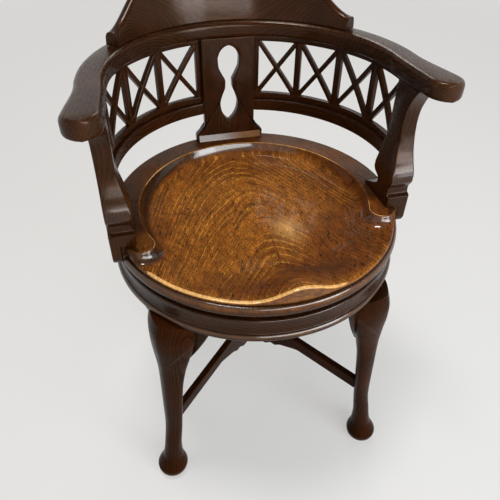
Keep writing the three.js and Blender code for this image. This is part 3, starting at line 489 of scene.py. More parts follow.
class Net:
    """Adds nodes to a tree in tidy columns and links what is passed as a socket."""

    def __init__(self, tree):
        self.tree = tree
        self.count = 0

    def put(self, socket, value):
        """Links a socket, or sets its own value where the value is a plain one."""
        if isinstance(value, bpy.types.NodeSocket):
            self.tree.links.new(value, socket)
        else:
            socket.default_value = value

    def add(self, kind, inputs=None, **settings):
        """A new node with its settings and inputs."""
        node = self.tree.nodes.new(kind)
        node.location = (220 * (self.count // 5), -230 * (self.count % 5))
        self.count += 1
        for key, value in settings.items():
            setattr(node, key, value)
        for key, value in (inputs or {}).items():
            self.put(node.inputs[key], value)
        return node

    def math(self, operation, a, b=0.0, c=0.0, clamp=False):
        """One operation on up to three numbers."""
        return self.add("ShaderNodeMath", {0: a, 1: b, 2: c}, operation=operation,
                        use_clamp=clamp).outputs[0]

    def plus(self, a, b, clamp=False):
        """a + b"""
        return self.math("ADD", a, b, clamp=clamp)

    def minus(self, a, b):
        """a - b"""
        return self.math("SUBTRACT", a, b)

    def times(self, a, b, clamp=False):
        """a b"""
        return self.math("MULTIPLY", a, b, clamp=clamp)

    def line(self, value, slope, start):
        """slope value + start"""
        return self.math("MULTIPLY_ADD", value, slope, start)

    def size(self, value):
        """The value without its sign."""
        return self.math("ABSOLUTE", value)

    def vector(self, operation, a, b):
        """One operation on two vectors."""
        return self.add("ShaderNodeVectorMath", {0: a, 1: b}, operation=operation).outputs[0]

    def noise(self, vector, scale, detail, roughness, distortion=0.0):
        """Soft noise from 0 to 1, with its scale per metre."""
        return self.add("ShaderNodeTexNoise", {
            "Vector": vector, "Scale": scale, "Detail": detail, "Roughness": roughness,
            "Distortion": distortion}).outputs["Fac"]

    def band(self, value, low, high, out_low=0.0, out_high=1.0):
        """Smooth step from one value to another between two thresholds."""
        return self.add("ShaderNodeMapRange", {
            "Value": value, "From Min": low, "From Max": high, "To Min": out_low,
            "To Max": out_high}, interpolation_type="SMOOTHSTEP").outputs["Result"]

    def mix(self, factor, a, b, blend="MIX"):
        """Colour a, covered by colour b as far as the factor says."""
        node = self.add("ShaderNodeMix", data_type="RGBA", blend_type=blend)
        for key, value in (("Factor", factor), ("A", a), ("B", b)):
            self.put(next(s for s in node.inputs if s.name == key and s.enabled), value)
        return next(s for s in node.outputs if s.enabled)

    def split(self, vector):
        """The three numbers of a vector."""
        return self.add("ShaderNodeSeparateXYZ", {0: vector}).outputs

    def join(self, x, y, z):
        """A vector of three numbers."""
        return self.add("ShaderNodeCombineXYZ", {0: x, 1: y, 2: z}).outputs[0]

    def place(self):
        """The point's place on the object, in metres."""
        return self.add("ShaderNodeTexCoord").outputs["Object"]

    def stored(self, name, output="Fac"):
        """What a point attribute holds."""
        return self.add("ShaderNodeAttribute", attribute_name=name).outputs[output]

    def group(self, tree, values):
        """A node group's outputs, with its own values as inputs."""
        return self.add("ShaderNodeGroup", values, node_tree=tree).outputs


def new_group(name, inputs, outputs):
    """An empty node group with named sockets. Inputs are (name, kind, default)."""
    tree = bpy.data.node_groups.new(name, "ShaderNodeTree")
    for label, kind, default in inputs:
        socket = tree.interface.new_socket(name=label, in_out="INPUT", socket_type=kind)
        if default is not None:
            socket.default_value = default
    for label, kind in outputs:
        tree.interface.new_socket(name=label, in_out="OUTPUT", socket_type=kind)
    net = Net(tree)
    entry = net.add("NodeGroupInput")
    leave = tree.nodes.new("NodeGroupOutput")
    return tree, net, entry.outputs, leave.inputs


def pore_group():
    """Open pores of oak: two noises stretched along X, kept where they are high."""
    tree, net, given, out = new_group("Oak pores", [
        ("Place", "NodeSocketVector", None), ("Length", "NodeSocketFloat", 0.010),
        ("Width", "NodeSocketFloat", 0.0011), ("Amount", "NodeSocketFloat", 0.5)],
        [("Pores", "NodeSocketFloat"), ("Fibre", "NodeSocketFloat")])
    along = net.math("DIVIDE", 1.0, given["Length"])
    across = net.math("DIVIDE", 1.0, given["Width"])
    stretched = net.vector("MULTIPLY", given["Place"], net.join(along, across, across))
    coarse = net.noise(stretched, 1.0, 2.0, 0.6, 0.4)
    shifted = net.vector("ADD", stretched, (7.3, 3.1, 5.9))
    fine = net.noise(shifted, 2.3, 1.0, 0.5, 0.2)
    low = net.minus(0.72, net.times(given["Amount"], 0.22))
    high = net.plus(low, 0.10)
    strong = net.band(coarse, low, high)
    weak = net.band(fine, low, high, 0.0, 0.6)
    net.put(out["Pores"], net.math("MAXIMUM", strong, weak))
    net.put(out["Fibre"], net.plus(net.times(coarse, 0.6), net.times(fine, 0.4)))
    return tree


def growth_group():
    """Growth lines of a field in metres: a saw of field / spacing gives thin light lines, broken
    and thinned by noise, and broad soft bands between them."""
    tree, net, given, out = new_group("Growth lines", [
        ("Field", "NodeSocketFloat", 0.0), ("Place", "NodeSocketVector", None),
        ("Spacing", "NodeSocketFloat", 0.012), ("Line", "NodeSocketFloat", 0.12),
        ("Unrest", "NodeSocketFloat", 0.4)],
        [("Lines", "NodeSocketFloat"), ("Bands", "NodeSocketFloat"), ("Years", "NodeSocketFloat")])
    drift = net.minus(net.noise(given["Place"], 11.0, 3.0, 0.55), 0.5)
    ripple = net.minus(net.noise(given["Place"], 160.0, 2.0, 0.6), 0.5)
    years = net.math("DIVIDE", given["Field"], given["Spacing"])
    years = net.plus(years, net.times(drift, net.times(given["Unrest"], 5.0)))
    years = net.plus(years, net.times(ripple, given["Unrest"]))
    away = net.size(net.minus(net.math("FRACT", years), 0.5))
    thin = net.band(away, 0.0, given["Line"], 1.0, 0.0)
    number = net.math("FLOOR", years)
    chance = net.add("ShaderNodeTexWhiteNoise", {"W": number},
                     noise_dimensions="1D").outputs["Value"]
    broken = net.noise(given["Place"], 16.0, 2.0, 0.5)
    keep = net.band(net.plus(broken, net.times(chance, 0.42)), 0.53, 0.75)
    net.put(out["Lines"], net.times(thin, keep))
    wave = net.math("SINE", net.times(years, 2 * math.pi))
    net.put(out["Bands"], net.line(wave, 0.5, 0.5))
    net.put(out["Years"], years)
    return tree


def age_group():
    """Use and age: patchy rubbing where the mask is high, soft smears for the gloss, and grime."""
    tree, net, given, out = new_group("Use and age", [
        ("Place", "NodeSocketVector", None), ("Rubbed", "NodeSocketFloat", 0.0),
        ("Patch Size", "NodeSocketFloat", 30.0)],
        [("Bare", "NodeSocketFloat"), ("Smears", "NodeSocketFloat"), ("Grime", "NodeSocketFloat")])
    patches = net.noise(given["Place"], given["Patch Size"], 4.0, 0.6)
    grit = net.noise(given["Place"], 420.0, 2.0, 0.6)
    mask = net.plus(given["Rubbed"], net.times(net.minus(patches, 0.5), 0.55))
    mask = net.plus(mask, net.times(net.minus(grit, 0.5), 0.22))
    net.put(out["Bare"], net.band(mask, 0.18, 0.82))
    net.put(out["Smears"], net.noise(given["Place"], 24.0, 5.0, 0.65, 0.6))
    spots = net.noise(given["Place"], 55.0, 4.0, 0.7)
    net.put(out["Grime"], net.band(spots, 0.56, 0.78))
    return tree


def principled(name):
    """A new material, the net of its tree and its shader."""
    finish = bpy.data.materials.new(name)
    finish.use_nodes = True
    tree = finish.node_tree
    shader = next(n for n in tree.nodes if n.type == "BSDF_PRINCIPLED")
    shader.location = (1700, 0)
    tree.nodes["Material Output"].location = (2000, 0)
    return finish, Net(tree), shader


def connect(net, shader, colour, roughness, height, distance, strength):
    """Colour, roughness and a bump from a height in metres."""
    bump = net.add("ShaderNodeBump", {"Strength": strength, "Distance": distance, "Height": height})
    net.put(shader.inputs["Base Color"], colour)
    net.put(shader.inputs["Roughness"], roughness)
    net.put(shader.inputs["Normal"], bump.outputs["Normal"])


def seat_field(net, spot):
    """How far the wood's years have run at a place on the seat, in metres, and the way across the
    glued joint of its two boards. With x from the middle, the lines are arches that open to the
    front: x^2 / 0.11 on the left board and 0.162 (sqrt(1 + x^2 / 0.0036) - 1) on the right one."""
    sideways = net.minus(spot["X"], 0.005)
    square = net.times(sideways, sideways)
    arch = net.math("DIVIDE", square, 0.110)
    root = net.math("SQRT", net.plus(1.0, net.math("DIVIDE", square, 0.0036)))
    flank = net.times(net.minus(root, 1.0), 0.162)
    across = net.plus(net.times(spot["X"], 0.9714), net.line(spot["Y"], -0.2376, 0.0324))
    right_board = net.band(across, -0.0004, 0.0004)
    bend = net.plus(arch, net.times(right_board, net.minus(flank, arch)))
    depth = net.times(net.minus(spot["Z"], 0.445), -1.1)
    field = net.plus(net.plus(spot["Y"], bend), depth)
    return net.plus(field, net.times(right_board, 0.0047)), across


def crack_mask(net, spot):
    """A short drying crack that runs forward from the middle of the dish."""
    side = net.size(net.line(spot["Y"], -0.045, net.minus(spot["X"], 0.0115)))
    run = net.size(net.plus(spot["Y"], 0.108))
    return net.times(net.band(side, 0.0003, 0.0009, 1.0, 0.0),
                     net.band(run, 0.018, 0.030, 1.0, 0.0))


def bare_seat(net, colours, groups, here, spot, years, pores, rubbed, warmth_and_shade):
    """Colour of the seat's bare oak, and how far it is polished. Warm clouds, dark bands, light
    growth lines, worn gold where it is polished, which on the front lip is also a painted
    highlight, and pores, all lit unevenly by the fibre."""
    broad, narrow, fore = years
    cloud = net.minus(net.noise(here, 13.0, 3.0, 0.6), 0.5)
    warm = net.plus(warmth_and_shade, net.times(cloud, 1.8), clamp=True)
    tone = net.mix(net.band(warm, 0.05, 0.95), colours.red_oak, colours.golden_oak)
    tone = net.mix(net.times(narrow["Bands"], 0.40), tone, colours.umber)
    lean = net.noise(net.join(net.times(broad["Years"], 1.9), net.times(spot["X"], 9.0), 0.0),
                     1.0, 2.0, 0.6)
    tone = net.mix(net.band(lean, 0.47, 0.64, 0.0, 0.72), tone, LEAN_YEAR)
    light = net.math("MAXIMUM", broad["Lines"], net.times(narrow["Lines"], 0.24))
    light = net.times(light, net.band(rubbed, 0.45, 1.0))
    light = net.times(light, net.band(warmth_and_shade, 0.05, 0.5, 0.25, 1.0))
    tone = net.mix(light, tone, colours.honey_streak)
    polish = net.band(rubbed, 1.05, 1.22)
    # polished gold: real wear, and on the front lip also a painted highlight
    tone = net.mix(net.times(polish, 0.84), tone, POLISHED_OAK_AND_SHEEN)
    small_pores = net.group(groups["pores"], {"Place": fore, "Length": 0.0060, "Width": 0.0011,
                                              "Amount": 1.15})
    for open_grain, fade, much in ((pores, -0.88, 0.95), (small_pores, -0.34, 0.42)):
        shown = net.times(open_grain["Pores"], net.line(polish, fade, much))
        tone = net.mix(shown, tone, colours.umber)
    mottle = net.noise(net.vector("MULTIPLY", here, (85.0, 45.0, 85.0)), 1.0, 3.0, 0.65)
    spread = net.plus(net.line(pores["Fibre"], 8.4, -5.37), net.times(mottle, 2.4))
    glow = net.line(spread, net.line(polish, -0.65, 1.0), 1.3)
    return net.mix(1.0, tone, net.join(glow, glow, glow), "MULTIPLY"), polish


def seat_finish(colours, groups):
    """Golden dish under a dark stain: growth lines sweep in arches that open to the front, short
    dark pores run front to back, and the rubbed mask shows the bare oak."""
    finish, net, shader = principled("Worn oak")
    here = net.place()
    spot = net.split(here)
    rubbed, warmth_and_shade = net.stored("rubbed"), net.stored("warmth_and_shade")
    field, joint_way = seat_field(net, spot)
    broad = net.group(groups["growth"], {"Field": field, "Place": here, "Spacing": 0.0185,
                                         "Line": 0.125, "Unrest": 0.26})
    moved = net.vector("ADD", here, (0.31, 0.17, 0.0))
    narrow = net.group(groups["growth"], {"Field": field, "Place": moved, "Spacing": 0.0066,
                                          "Line": 0.24, "Unrest": 0.40})
    fore = net.join(spot["Y"], spot["X"], spot["Z"])
    pores = net.group(groups["pores"], {"Place": fore, "Length": 0.0090, "Width": 0.0022,
                                        "Amount": 1.05})
    age = net.group(groups["age"], {"Place": here, "Rubbed": rubbed, "Patch Size": 22.0})
    tone, polish = bare_seat(net, colours, groups, here, spot, (broad, narrow, fore), pores, rubbed,
                             warmth_and_shade)
    stain = net.mix(net.times(pores["Fibre"], 0.9), colours.dark_stain, colours.stain_streak)
    stain = net.mix(net.times(broad["Bands"], 0.4), stain, STAIN_BAND)
    colour = net.mix(age["Bare"], stain, tone)
    # painted shade: below zero the seat's tone attribute turns the colour to HOLLOW_SHADE
    colour = net.mix(net.band(warmth_and_shade, -0.9, 0.0, 0.75, 0.0), colour, HOLLOW_SHADE)
    colour = net.mix(net.times(age["Grime"], 0.40), colour, SEAT_GRIME)
    joint = net.band(net.size(joint_way), 0.0002, 0.0007, 0.30, 0.0)
    colour = net.mix(joint, colour, GLUE_LINE)
    crack = crack_mask(net, spot)
    colour = net.mix(net.times(crack, 0.7), colour, CRACK_DIRT)
    dulled = net.times(age["Bare"], net.line(polish, -0.24, 0.28))
    rough = net.plus(net.line(age["Smears"], 0.26, 0.09), dulled)
    rough = net.plus(rough, net.times(pores["Pores"], 0.12))
    height = net.minus(net.times(age["Smears"], 1.4), net.times(pores["Pores"], 0.40))
    height = net.minus(height, net.times(crack, 0.8))
    connect(net, shader, colour, rough, height, 0.0006, 0.6)
    varnish = net.times(net.stored("shine"), net.line(age["Smears"], -0.5, 1.25), clamp=True)
    net.put(shader.inputs["Coat Weight"], varnish)
    shader.inputs["Specular IOR Level"].default_value = 0.22
    shader.inputs["Specular Tint"].default_value = (1.0, 0.75, 0.45, 1)
    shader.inputs["Coat Roughness"].default_value = 0.09
    return finish


def stained_finish(colours, groups, name="Dark oak", gloss=0.17):
    """Dark stained oak, polished: rings about a pith beside each plank, open pores and rubbed
    edges."""
    finish, net, shader = principled(name)
    plank = net.stored("plank", "Vector")
    rubbed = net.stored("rubbed")
    here = net.place()
    spot = net.split(plank)
    reach = net.math("SQRT", net.plus(net.times(spot["Y"], spot["Y"]),
                                      net.times(spot["Z"], spot["Z"])))
    field = net.plus(reach, net.times(spot["X"], 0.035))
    years = net.group(groups["growth"], {"Field": field, "Place": plank, "Spacing": 0.0046,
                                         "Line": 0.2, "Unrest": 0.35})
    pores = net.group(groups["pores"], {"Place": plank, "Length": 0.014, "Width": 0.0014,
                                        "Amount": 0.9})
    age = net.group(groups["age"], {"Place": here, "Rubbed": rubbed, "Patch Size": 38.0})
    tone = net.mix(net.times(years["Bands"], 0.55), colours.dark_stain, colours.stain_streak)
    tone = net.mix(net.times(years["Lines"], 0.45), tone, STAINED_RAY)
    tone = net.mix(net.times(pores["Pores"], 0.7), tone, STAINED_PORE)
    cloud = net.band(net.noise(here, 14.0, 3.0, 0.6), 0.42, 0.7)
    tone = net.mix(net.times(cloud, 0.55), tone, RED_CLOUD)
    bare = net.mix(pores["Fibre"], BARE_FRAME_DARK, BARE_FRAME_LIGHT)
    colour = net.mix(net.times(age["Bare"], 0.85), tone, bare)
    colour = net.mix(net.times(age["Grime"], 0.4), colour, FRAME_GRIME)
    rough = net.line(age["Smears"], 0.26, 0.09)
    rough = net.plus(rough, net.times(pores["Pores"], 0.12))
    height = net.minus(net.times(age["Smears"], 1.2), net.times(pores["Pores"], 0.3))
    connect(net, shader, colour, rough, height, 0.0005, 0.5)
    net.put(shader.inputs["Coat Weight"], net.line(age["Smears"], -0.1, net.stored("shine")))
    shader.inputs["Specular IOR Level"].default_value = gloss
    shader.inputs["Specular Tint"].default_value = (1.0, 0.55, 0.28, 1)
    shader.inputs["Coat Roughness"].default_value = 0.14
    return finish


def waxed_finish(colours, groups):
    """The same oak with only wax on it, for legs and stretcher."""
    return stained_finish(colours, groups, "Waxed oak", 0.05)


def iron_finish(colours, groups):
    """Old cast iron: sandy skin, dark scale and a little rust."""
    finish, net, shader = principled("Old iron")
    here = net.place()
    sand = net.noise(here, 900.0, 3.0, 0.7)
    age = net.group(groups["age"], {"Place": here, "Rubbed": 0.35, "Patch Size": 60.0})
    tone = net.mix(sand, colours.old_iron, IRON_SAND)
    colour = net.mix(net.times(age["Grime"], 0.8), tone, RUST)
    rough = net.plus(net.line(age["Smears"], 0.25, 0.42), net.times(age["Grime"], 0.2))
    net.put(shader.inputs["Metallic"], net.band(age["Grime"], 0.0, 1.0, 0.85, 0.15))
    connect(net, shader, colour, rough, sand, 0.0004, 0.6)
    return finish


def steel_finish(colours, groups):
    """Plain steel gone a little dull: fine turning marks and brown freckles."""
    finish, net, shader = principled("Bright steel")
    here = net.place()
    marks = net.noise(net.vector("MULTIPLY", here, (60.0, 60.0, 2600.0)), 1.0, 2.0, 0.6)
    age = net.group(groups["age"], {"Place": here, "Rubbed": 0.5, "Patch Size": 90.0})
    tone = net.mix(marks, colours.bright_steel, STEEL_SHADE)
    colour = net.mix(net.times(age["Grime"], 0.6), tone, BROWN_FRECKLE)
    rough = net.line(age["Smears"], 0.3, 0.22)
    net.put(shader.inputs["Metallic"], net.band(age["Grime"], 0.0, 1.0, 0.95, 0.35))
    connect(net, shader, colour, rough, marks, 0.0002, 0.4)
    return finish


def finishes(context):
    """The five finishes, built once and then found by name."""
    made = {m.name: m for m in bpy.data.materials}
    if "Worn oak" not in made:
        groups = {"pores": pore_group(), "growth": growth_group(), "age": age_group()}
        colours = context.scene.chair_finishes
        for build in (seat_finish, stained_finish, waxed_finish, iron_finish, steel_finish):
            finish = build(colours, groups)
            made[finish.name] = finish
    names = ("Worn oak", "Dark oak", "Waxed oak", "Old iron", "Bright steel")
    return [made[name] for name in names]


# Seat board

def rim_distance(radius, turn, sizes):
    """Distance in front of the flat rim's edge, and below zero inside the rim. The rim is the ring
    outside rim radius beyond the lobes' turn, and a circle ends it on each side."""
    inner = sizes.seat_radius - sizes.rim_width
    outer = sizes.seat_radius - 0.003
    middle, round_end = (inner + outer) / 2, (outer - inner) / 2
    side = np.minimum(turn, 2 * np.pi - turn)
    x, y = radius * np.sin(side), radius * np.cos(side)
    to_lobe = np.hypot(x - middle * math.sin(LOBE_TURN), y - middle * math.cos(LOBE_TURN))
    to_lobe = to_lobe - round_end
    return np.where(side > LOBE_TURN, np.minimum(inner - radius, to_lobe), to_lobe)


def wall_depth(distance):
    """Fall of the dish's wall: a small round edge, then 28 mm times 1 - (1 - s)^2.5, where s is the
    distance over the wall's 26 mm."""
    s = np.clip(distance / DISH_WALL, 0, 1)
    wall = 28 * MM * (1 - (1 - s) ** 2.5)
    beyond = np.maximum(distance - DISH_WALL, 0) * 0.6
    edge = np.interp(distance, np.array([-0.9, -0.6, -0.3, 0.0, 0.3, 0.6]) * MM,
                     np.array([0, 0.05, 0.22, 0.56, 1.03, 1.586]) * MM)
    return np.where(distance < 0.6 * MM, edge, wall + beyond)


def seat_top(radius, turn, sizes):
    """Height of the seat's upper side: the dish, a lip that rises over the last 76 mm at the front
    with the pommel as a bell curve on it, and the rim's wall. The higher of floor and wall counts,
    and a cove adds (k - |floor - wall|)^2 / 4k where they lie closer than k."""
    side = np.minimum(turn, 2 * np.pi - turn)
    front = smoothstep((math.radians(118) - side) / math.radians(50))
    rise = smoothstep((radius - sizes.seat_radius + 0.076) / 0.076) * front
    lip = -sizes.dish_depth + (sizes.dish_depth - sizes.front_drop) * rise
    across = radius * np.sin(turn) - POMMEL_SHIFT
    along = smoothstep((radius * np.cos(turn) - sizes.seat_radius + 0.090) / 0.090)
    floor = lip + sizes.pommel_rise * along * np.exp(-((across / 0.029) ** 2) / 2)
    wall = -wall_depth(rim_distance(radius, turn, sizes))
    cove = 11 * MM
    near = np.maximum(cove - np.abs(floor - wall), 0)
    joined = np.maximum(floor, wall) + near ** 2 / (4 * cove)
    return sizes.seat_height + np.minimum(joined, POMMEL_TOP)


def seat_columns():
    """Turns of the seat's columns from the front: a degree apart, and close at the lobes and
    notches."""
    half = np.concatenate([np.arange(0, 60, 1.0), np.arange(60, 70, 0.17), [70.05, 70.20, 70.30],
                           np.arange(70.5, 76, 0.17), np.arange(76, 90, 1.0), [90.0, 90.68, 90.8],
                           np.arange(91.5, 180, 1.0)])
    return np.radians(np.concatenate([half, [180.0], 360 - half[:0:-1]]))


def seat_surface(sizes):
    """The board as rows of rings: out over the dish, lip and rim, round the top edge, down over the
    moulded edge and in again below. Points are (r sin t, -r cos t, z)."""
    turn = seat_columns()
    lip_round = 3 * MM
    outer = sizes.seat_radius - lip_round
    inner = sizes.seat_radius - sizes.rim_width
    near = inner + np.array([-7, -5.6, -4.4, -3.4, -2.5, -1.8, -1.2, -0.75, -0.45, -0.25, -0.12,
                             -0.02, 0.12, 0.3, 0.6, 1.0, 1.4, 2.2]) * MM
    radii = np.concatenate([np.linspace(0.004, 0.140, 24), np.linspace(0.1425, inner - 8 * MM, 20),
                            near, np.linspace(inner + 3.2 * MM, outer, 40)])
    radius = np.broadcast_to(radii[:, None], (len(radii), len(turn)))
    height = seat_top(radius, turn[None, :], sizes)
    bend = np.linspace(0, np.pi / 2, 7)[1:, None]
    edge_top = height[-1]
    round_radius = np.broadcast_to(outer + lip_round * np.sin(bend), (6, len(turn)))
    round_height = edge_top - lip_round * (1 - np.cos(bend))
    low = sizes.seat_height + SEAT_EDGE[:, 1:] * MM
    fade = np.linspace(0, 1, 5)[1:-1, None]
    steps_down = 0.05 * MM * np.arange(1, len(low) + 1)[:, None]
    edge_height = np.minimum(low, round_height[-1] - steps_down)
    side_height = round_height[-1] * (1 - fade) + edge_height[0] * fade
    side_radius = np.full((3, len(turn)), sizes.seat_radius)
    edge_radius = np.broadcast_to(sizes.seat_radius + SEAT_EDGE[:, :1] * MM, edge_height.shape)
    under_radius = np.broadcast_to(np.linspace(0.22, 0.01, 8)[:, None], (8, len(turn)))
    under_height = np.full(under_radius.shape, sizes.seat_height - 0.040)
    radius = np.vstack([radius, round_radius, side_radius, edge_radius, under_radius])
    height = np.vstack([height, round_height, side_height, edge_height, under_height])
    side = np.minimum(turn, 2 * np.pi - turn)
    notch = (side > math.radians(70.25)) & (side < math.radians(90.75))
    limit = np.where(notch, NOTCH_FLAT / np.sin(np.clip(side, 0.5, 2.6)), 1.0)
    squeezed = NOTCH_START + ((radius - NOTCH_START) * (limit - NOTCH_START)
                              / (sizes.seat_radius - NOTCH_START))
    notched = np.where(radius > NOTCH_START, np.minimum(squeezed, limit), radius)
    deep = height > sizes.seat_height - 0.0363
    radius = np.where(notch[None, :] & deep, notched, radius)
    rows = np.stack([radius * np.sin(turn), -radius * np.cos(turn), height], -1)
    return rows, turn, radius


def seat_places(rows, turn, radius, sizes):
    """For every point: x, y and z, its turn from the front, how far it lies in front of the rim's
    edge and how far below the rim."""
    x, y, z = np.moveaxis(rows, -1, 0)
    side = np.minimum(turn, 2 * np.pi - turn)
    away = rim_distance(radius, turn[None, :], sizes)
    return x, y, z, side, away, np.maximum(sizes.seat_height - z, 0)


def seat_wear_and_painted_light(rows, turn, radius, sizes):
    """Where the stain is rubbed through: the dish and the front lip wholly, the rim's inner edge in
    a thin line, the moulded edge a little, and the rim more at the back and right than at the
    left. Part of it is painted light: on the left the stain stays on the wall and the dish's edge
    as painted shade, the wall is lighter on the right than on the left, and the thin edge line and
    the lip's polish are also painted highlights."""
    x, y, z, side, away, fall = seat_places(rows, turn, radius, sizes)
    # painted shade: on the left the stain reaches further into the dish, where the wall is in shade
    shaded = smoothstep((0.09 - x) / 0.16) * smoothstep((0.13 - y) / 0.08)
    dish = smoothstep((away - (2.5 + 5.5 * shaded) * MM) / (10 * MM))
    # painted shade: less rubbing on the dish's left side
    corner = 0.30 * bell(x, y, -0.165, -0.005, 0.046904, 0.046904)
    patch = 0.105 * bell(x, y, 0.038, -0.064, 0.027, 0.038)
    wall = smoothstep((fall - 0.8 * MM) / (1.2 * MM)) * (away > -2 * MM)
    rim = (0.04 + 0.46 * smoothstep((y + 0.02) / 0.12) + 0.08 * smoothstep((x - 0.02) / 0.16)
           + 0.28 * bell(x, y, -0.155, 0.125, 0.034641, 0.034641))
    # the wall rubbed lighter on the right than on the left: partly painted shade on the left wall
    rim = rim + (0.28 + 0.30 * smoothstep((x - 0.01) / 0.08) - rim) * wall
    # a thin rubbed line along the rim's inner edge, bright enough to also be a painted highlight on
    # its round
    run = np.where(away < -HAIR, away + HAIR, fall * 0.9)
    edge = 0.75 * hump(run, 0, 0.8 * MM)
    lobe = smoothstep((math.radians(82) - side) / math.radians(12))
    lobe = lobe * smoothstep((0.222 - radius) / 0.008) * smoothstep((MM - away) / (2 * MM))
    edge = edge + 0.60 * lobe * (1 - wall)
    top = dish * (1.05 - corner + patch) + (1 - dish) * (rim + edge)
    # the front lip rubbed past 1 to polished gold, which also paints its highlight, stronger on the
    # left
    front = smoothstep((math.radians(66) - side) / math.radians(12))
    lip = hump(radius, sizes.seat_radius - 0.003, 0.007)
    much = 0.72 + 0.62 * smoothstep((0.50 - np.sin(turn)) / 0.25)
    top = np.maximum(top, front * lip * much)
    moulded = (z < sizes.seat_height - EDGE_TOP) & (radius > sizes.seat_radius - EDGE_REACH)
    bead = 0.55 * hump(z, sizes.seat_height - 0.0235, 0.005)
    return np.where(moulded, bead, np.where(radius > sizes.seat_radius - 0.0005, top * 0.5, top))


def seat_warmth_and_shade(rows, turn, radius, sizes):
    """Tone of the bare oak, from red brown at 0 to gold at 1, with painted shade below 0: bell
    shapes for the golden middle and the worn lip, whose gold is also a painted highlight, and dark
    ones for the right front, the hollow behind the pommel and the left wall, where they paint
    shade."""
    x, y, _, side, away, fall = seat_places(rows, turn, radius, sizes)
    # the worn front lip turned gold, which also paints its highlight
    lip = hump(radius, sizes.seat_radius - 0.003, 0.006) * (np.sin(turn) < 0.75)
    front = smoothstep((math.radians(60) - side) / math.radians(15))
    tone = 0.42 + 0.55 * lip * front
    for much, *spot in TONE_SPOTS:
        tone = tone + much * bell(x, y, *spot)
    tone = tone - 0.32 * smoothstep(-away / (2 * MM)) * (y > -0.05)
    # painted shade on the dish's left wall, pushed below zero
    cove = smoothstep((fall - 0.7 * MM) / (1.1 * MM)) * smoothstep((13 * MM - away) / (9 * MM))
    left_wall_shade = smoothstep((0.06 - x) / 0.14) * smoothstep((0.165 - y) / 0.04)
    left_wall_shade = np.maximum(left_wall_shade, 0.30 * smoothstep((0.12 - y) / 0.05)) * (radius < 0.215)
    # painted shade in the hollows beside the pommel and at the right front
    hollow = sum(much * bell(x, y, *spot) for much, *spot in HOLLOW_SPOTS)
    return np.clip(tone, 0, 1) - np.maximum(1.6 * cove * left_wall_shade, hollow)


def seat_varnish(rows, turn, radius, sizes):
    """Thickness of the varnish: whole on the dish's wall and the crests of lip and bead, thin on
    the flat rim, and worn off on the floor but for a soft patch in the middle."""
    x, y, z, side, away, fall = seat_places(rows, turn, radius, sizes)
    lobes = smoothstep((-0.035 - y) / 0.03)
    lit = np.maximum(0.55, smoothstep((y - 0.08) / 0.08)) - 0.35 * smoothstep((x - 0.10) / 0.05)
    wall = (smoothstep((fall - 0.2 * MM) / (0.8 * MM))
            * smoothstep(((9 + 7 * lobes) * MM - away) / (6 * MM))
            * smoothstep((away + MM) / (0.8 * MM)) * np.maximum(lit, lobes))
    floor = smoothstep((away - 4 * MM) / (7 * MM))
    floor = floor * (0.045 + 0.05 * bell(x, y, 0.038, -0.060, 0.024, 0.040))
    rim = 0.05 * smoothstep(-away / (1.5 * MM))
    front = smoothstep((math.radians(70) - side) / math.radians(12))
    lip = 0.75 * front * hump(radius, sizes.seat_radius - 0.0015, 0.003)
    bead = 0.85 * hump(z, sizes.seat_height - 0.0200, 0.0028)
    skirt = np.where(z < sizes.seat_height - EDGE_TOP, 0.12 + bead, 0.14)
    outside = radius > sizes.seat_radius - EDGE_REACH
    inside = np.maximum.reduce([wall, floor, rim, np.broadcast_to(lip, wall.shape)])
    return np.where(outside, np.maximum(skirt, lip), inside)


# Base

def ring_segment(number, sizes):
    """A sawn quarter of the ring: its section carried round a quarter turn less a hair's joint."""
    start = math.radians(-157.5 + 90 * number) + 0.0007
    angles = np.linspace(start, start + np.pi / 2 - 0.0014, 92)
    section = RING_SECTION * MM + [RING_INNER, RING_FOOT]
    points, faces = skin(swept(section, angles + sizes.base_turn))
    middle = angles.mean() + sizes.base_turn
    return points, faces, (-math.sin(middle), math.cos(middle), 0), number + 0.3


def ring_wear(points):
    """Rubbed bead and top edge of the ring."""
    z = points[:, 2]
    out = np.hypot(points[:, 0], points[:, 1]) > 0.230
    bead = 0.52 * hump(z, RING_FOOT + 0.0085, 0.0032)
    top = 0.24 * hump(z, RING_FOOT + 0.0385, 0.0018)
    return np.where(out, bead + top, 0.0)


def ring_varnish(points):
    """Thick varnish on the crest of the bead and on the top edge, little on the face."""
    z = points[:, 2]
    bead = hump(z, RING_FOOT + 0.0100, 0.0032)
    top = 0.6 * smoothstep((z - RING_FOOT - 0.0345) / 0.003)
    return 0.09 + 0.85 * np.maximum(bead, top)


def leg_surface(angle, sizes):
    """A cabriole leg: rounded diamonds |x|^n + |y|^n = 1, whose middle, half width, depth and
    roundness follow smooth curves through the stations from foot to knee."""
    rise = np.concatenate([np.linspace(0, 0.12, 22)[:-1], np.linspace(0.12, 0.70, 44)[:-1],
                           np.linspace(0.70, 0.95, 92)[:-1], np.linspace(0.95, 0.999, 8)])
    splay, half, depth, power = [eased(rise, LEG_STATIONS[:, 0], LEG_STATIONS[:, k])[:, None]
                                 for k in (1, 2, 3, 4)]
    t = np.linspace(0, 2 * np.pi, 96, endpoint=False)[None, :]
    c, s = np.cos(t), np.sin(t)
    size = (np.abs(c) ** power + np.abs(s) ** power) ** (1 / power)
    across = sizes.knee_half * half
    middle = RING_MIDDLE + sizes.leg_splay * splay
    ridge = knee_carving(rise[:, None], t)
    carve = 0.7 * MM * ridge
    radial = (across * depth + carve) * c / size
    rows = np.stack([middle + radial, (across + carve) * s / size,
                     np.broadcast_to(LEG_TOP * rise[:, None], size.shape)], -1)
    points, faces = skin(rows)
    return turn_z(points, angle), faces, np.concatenate([ridge.ravel(), [0, 0]])


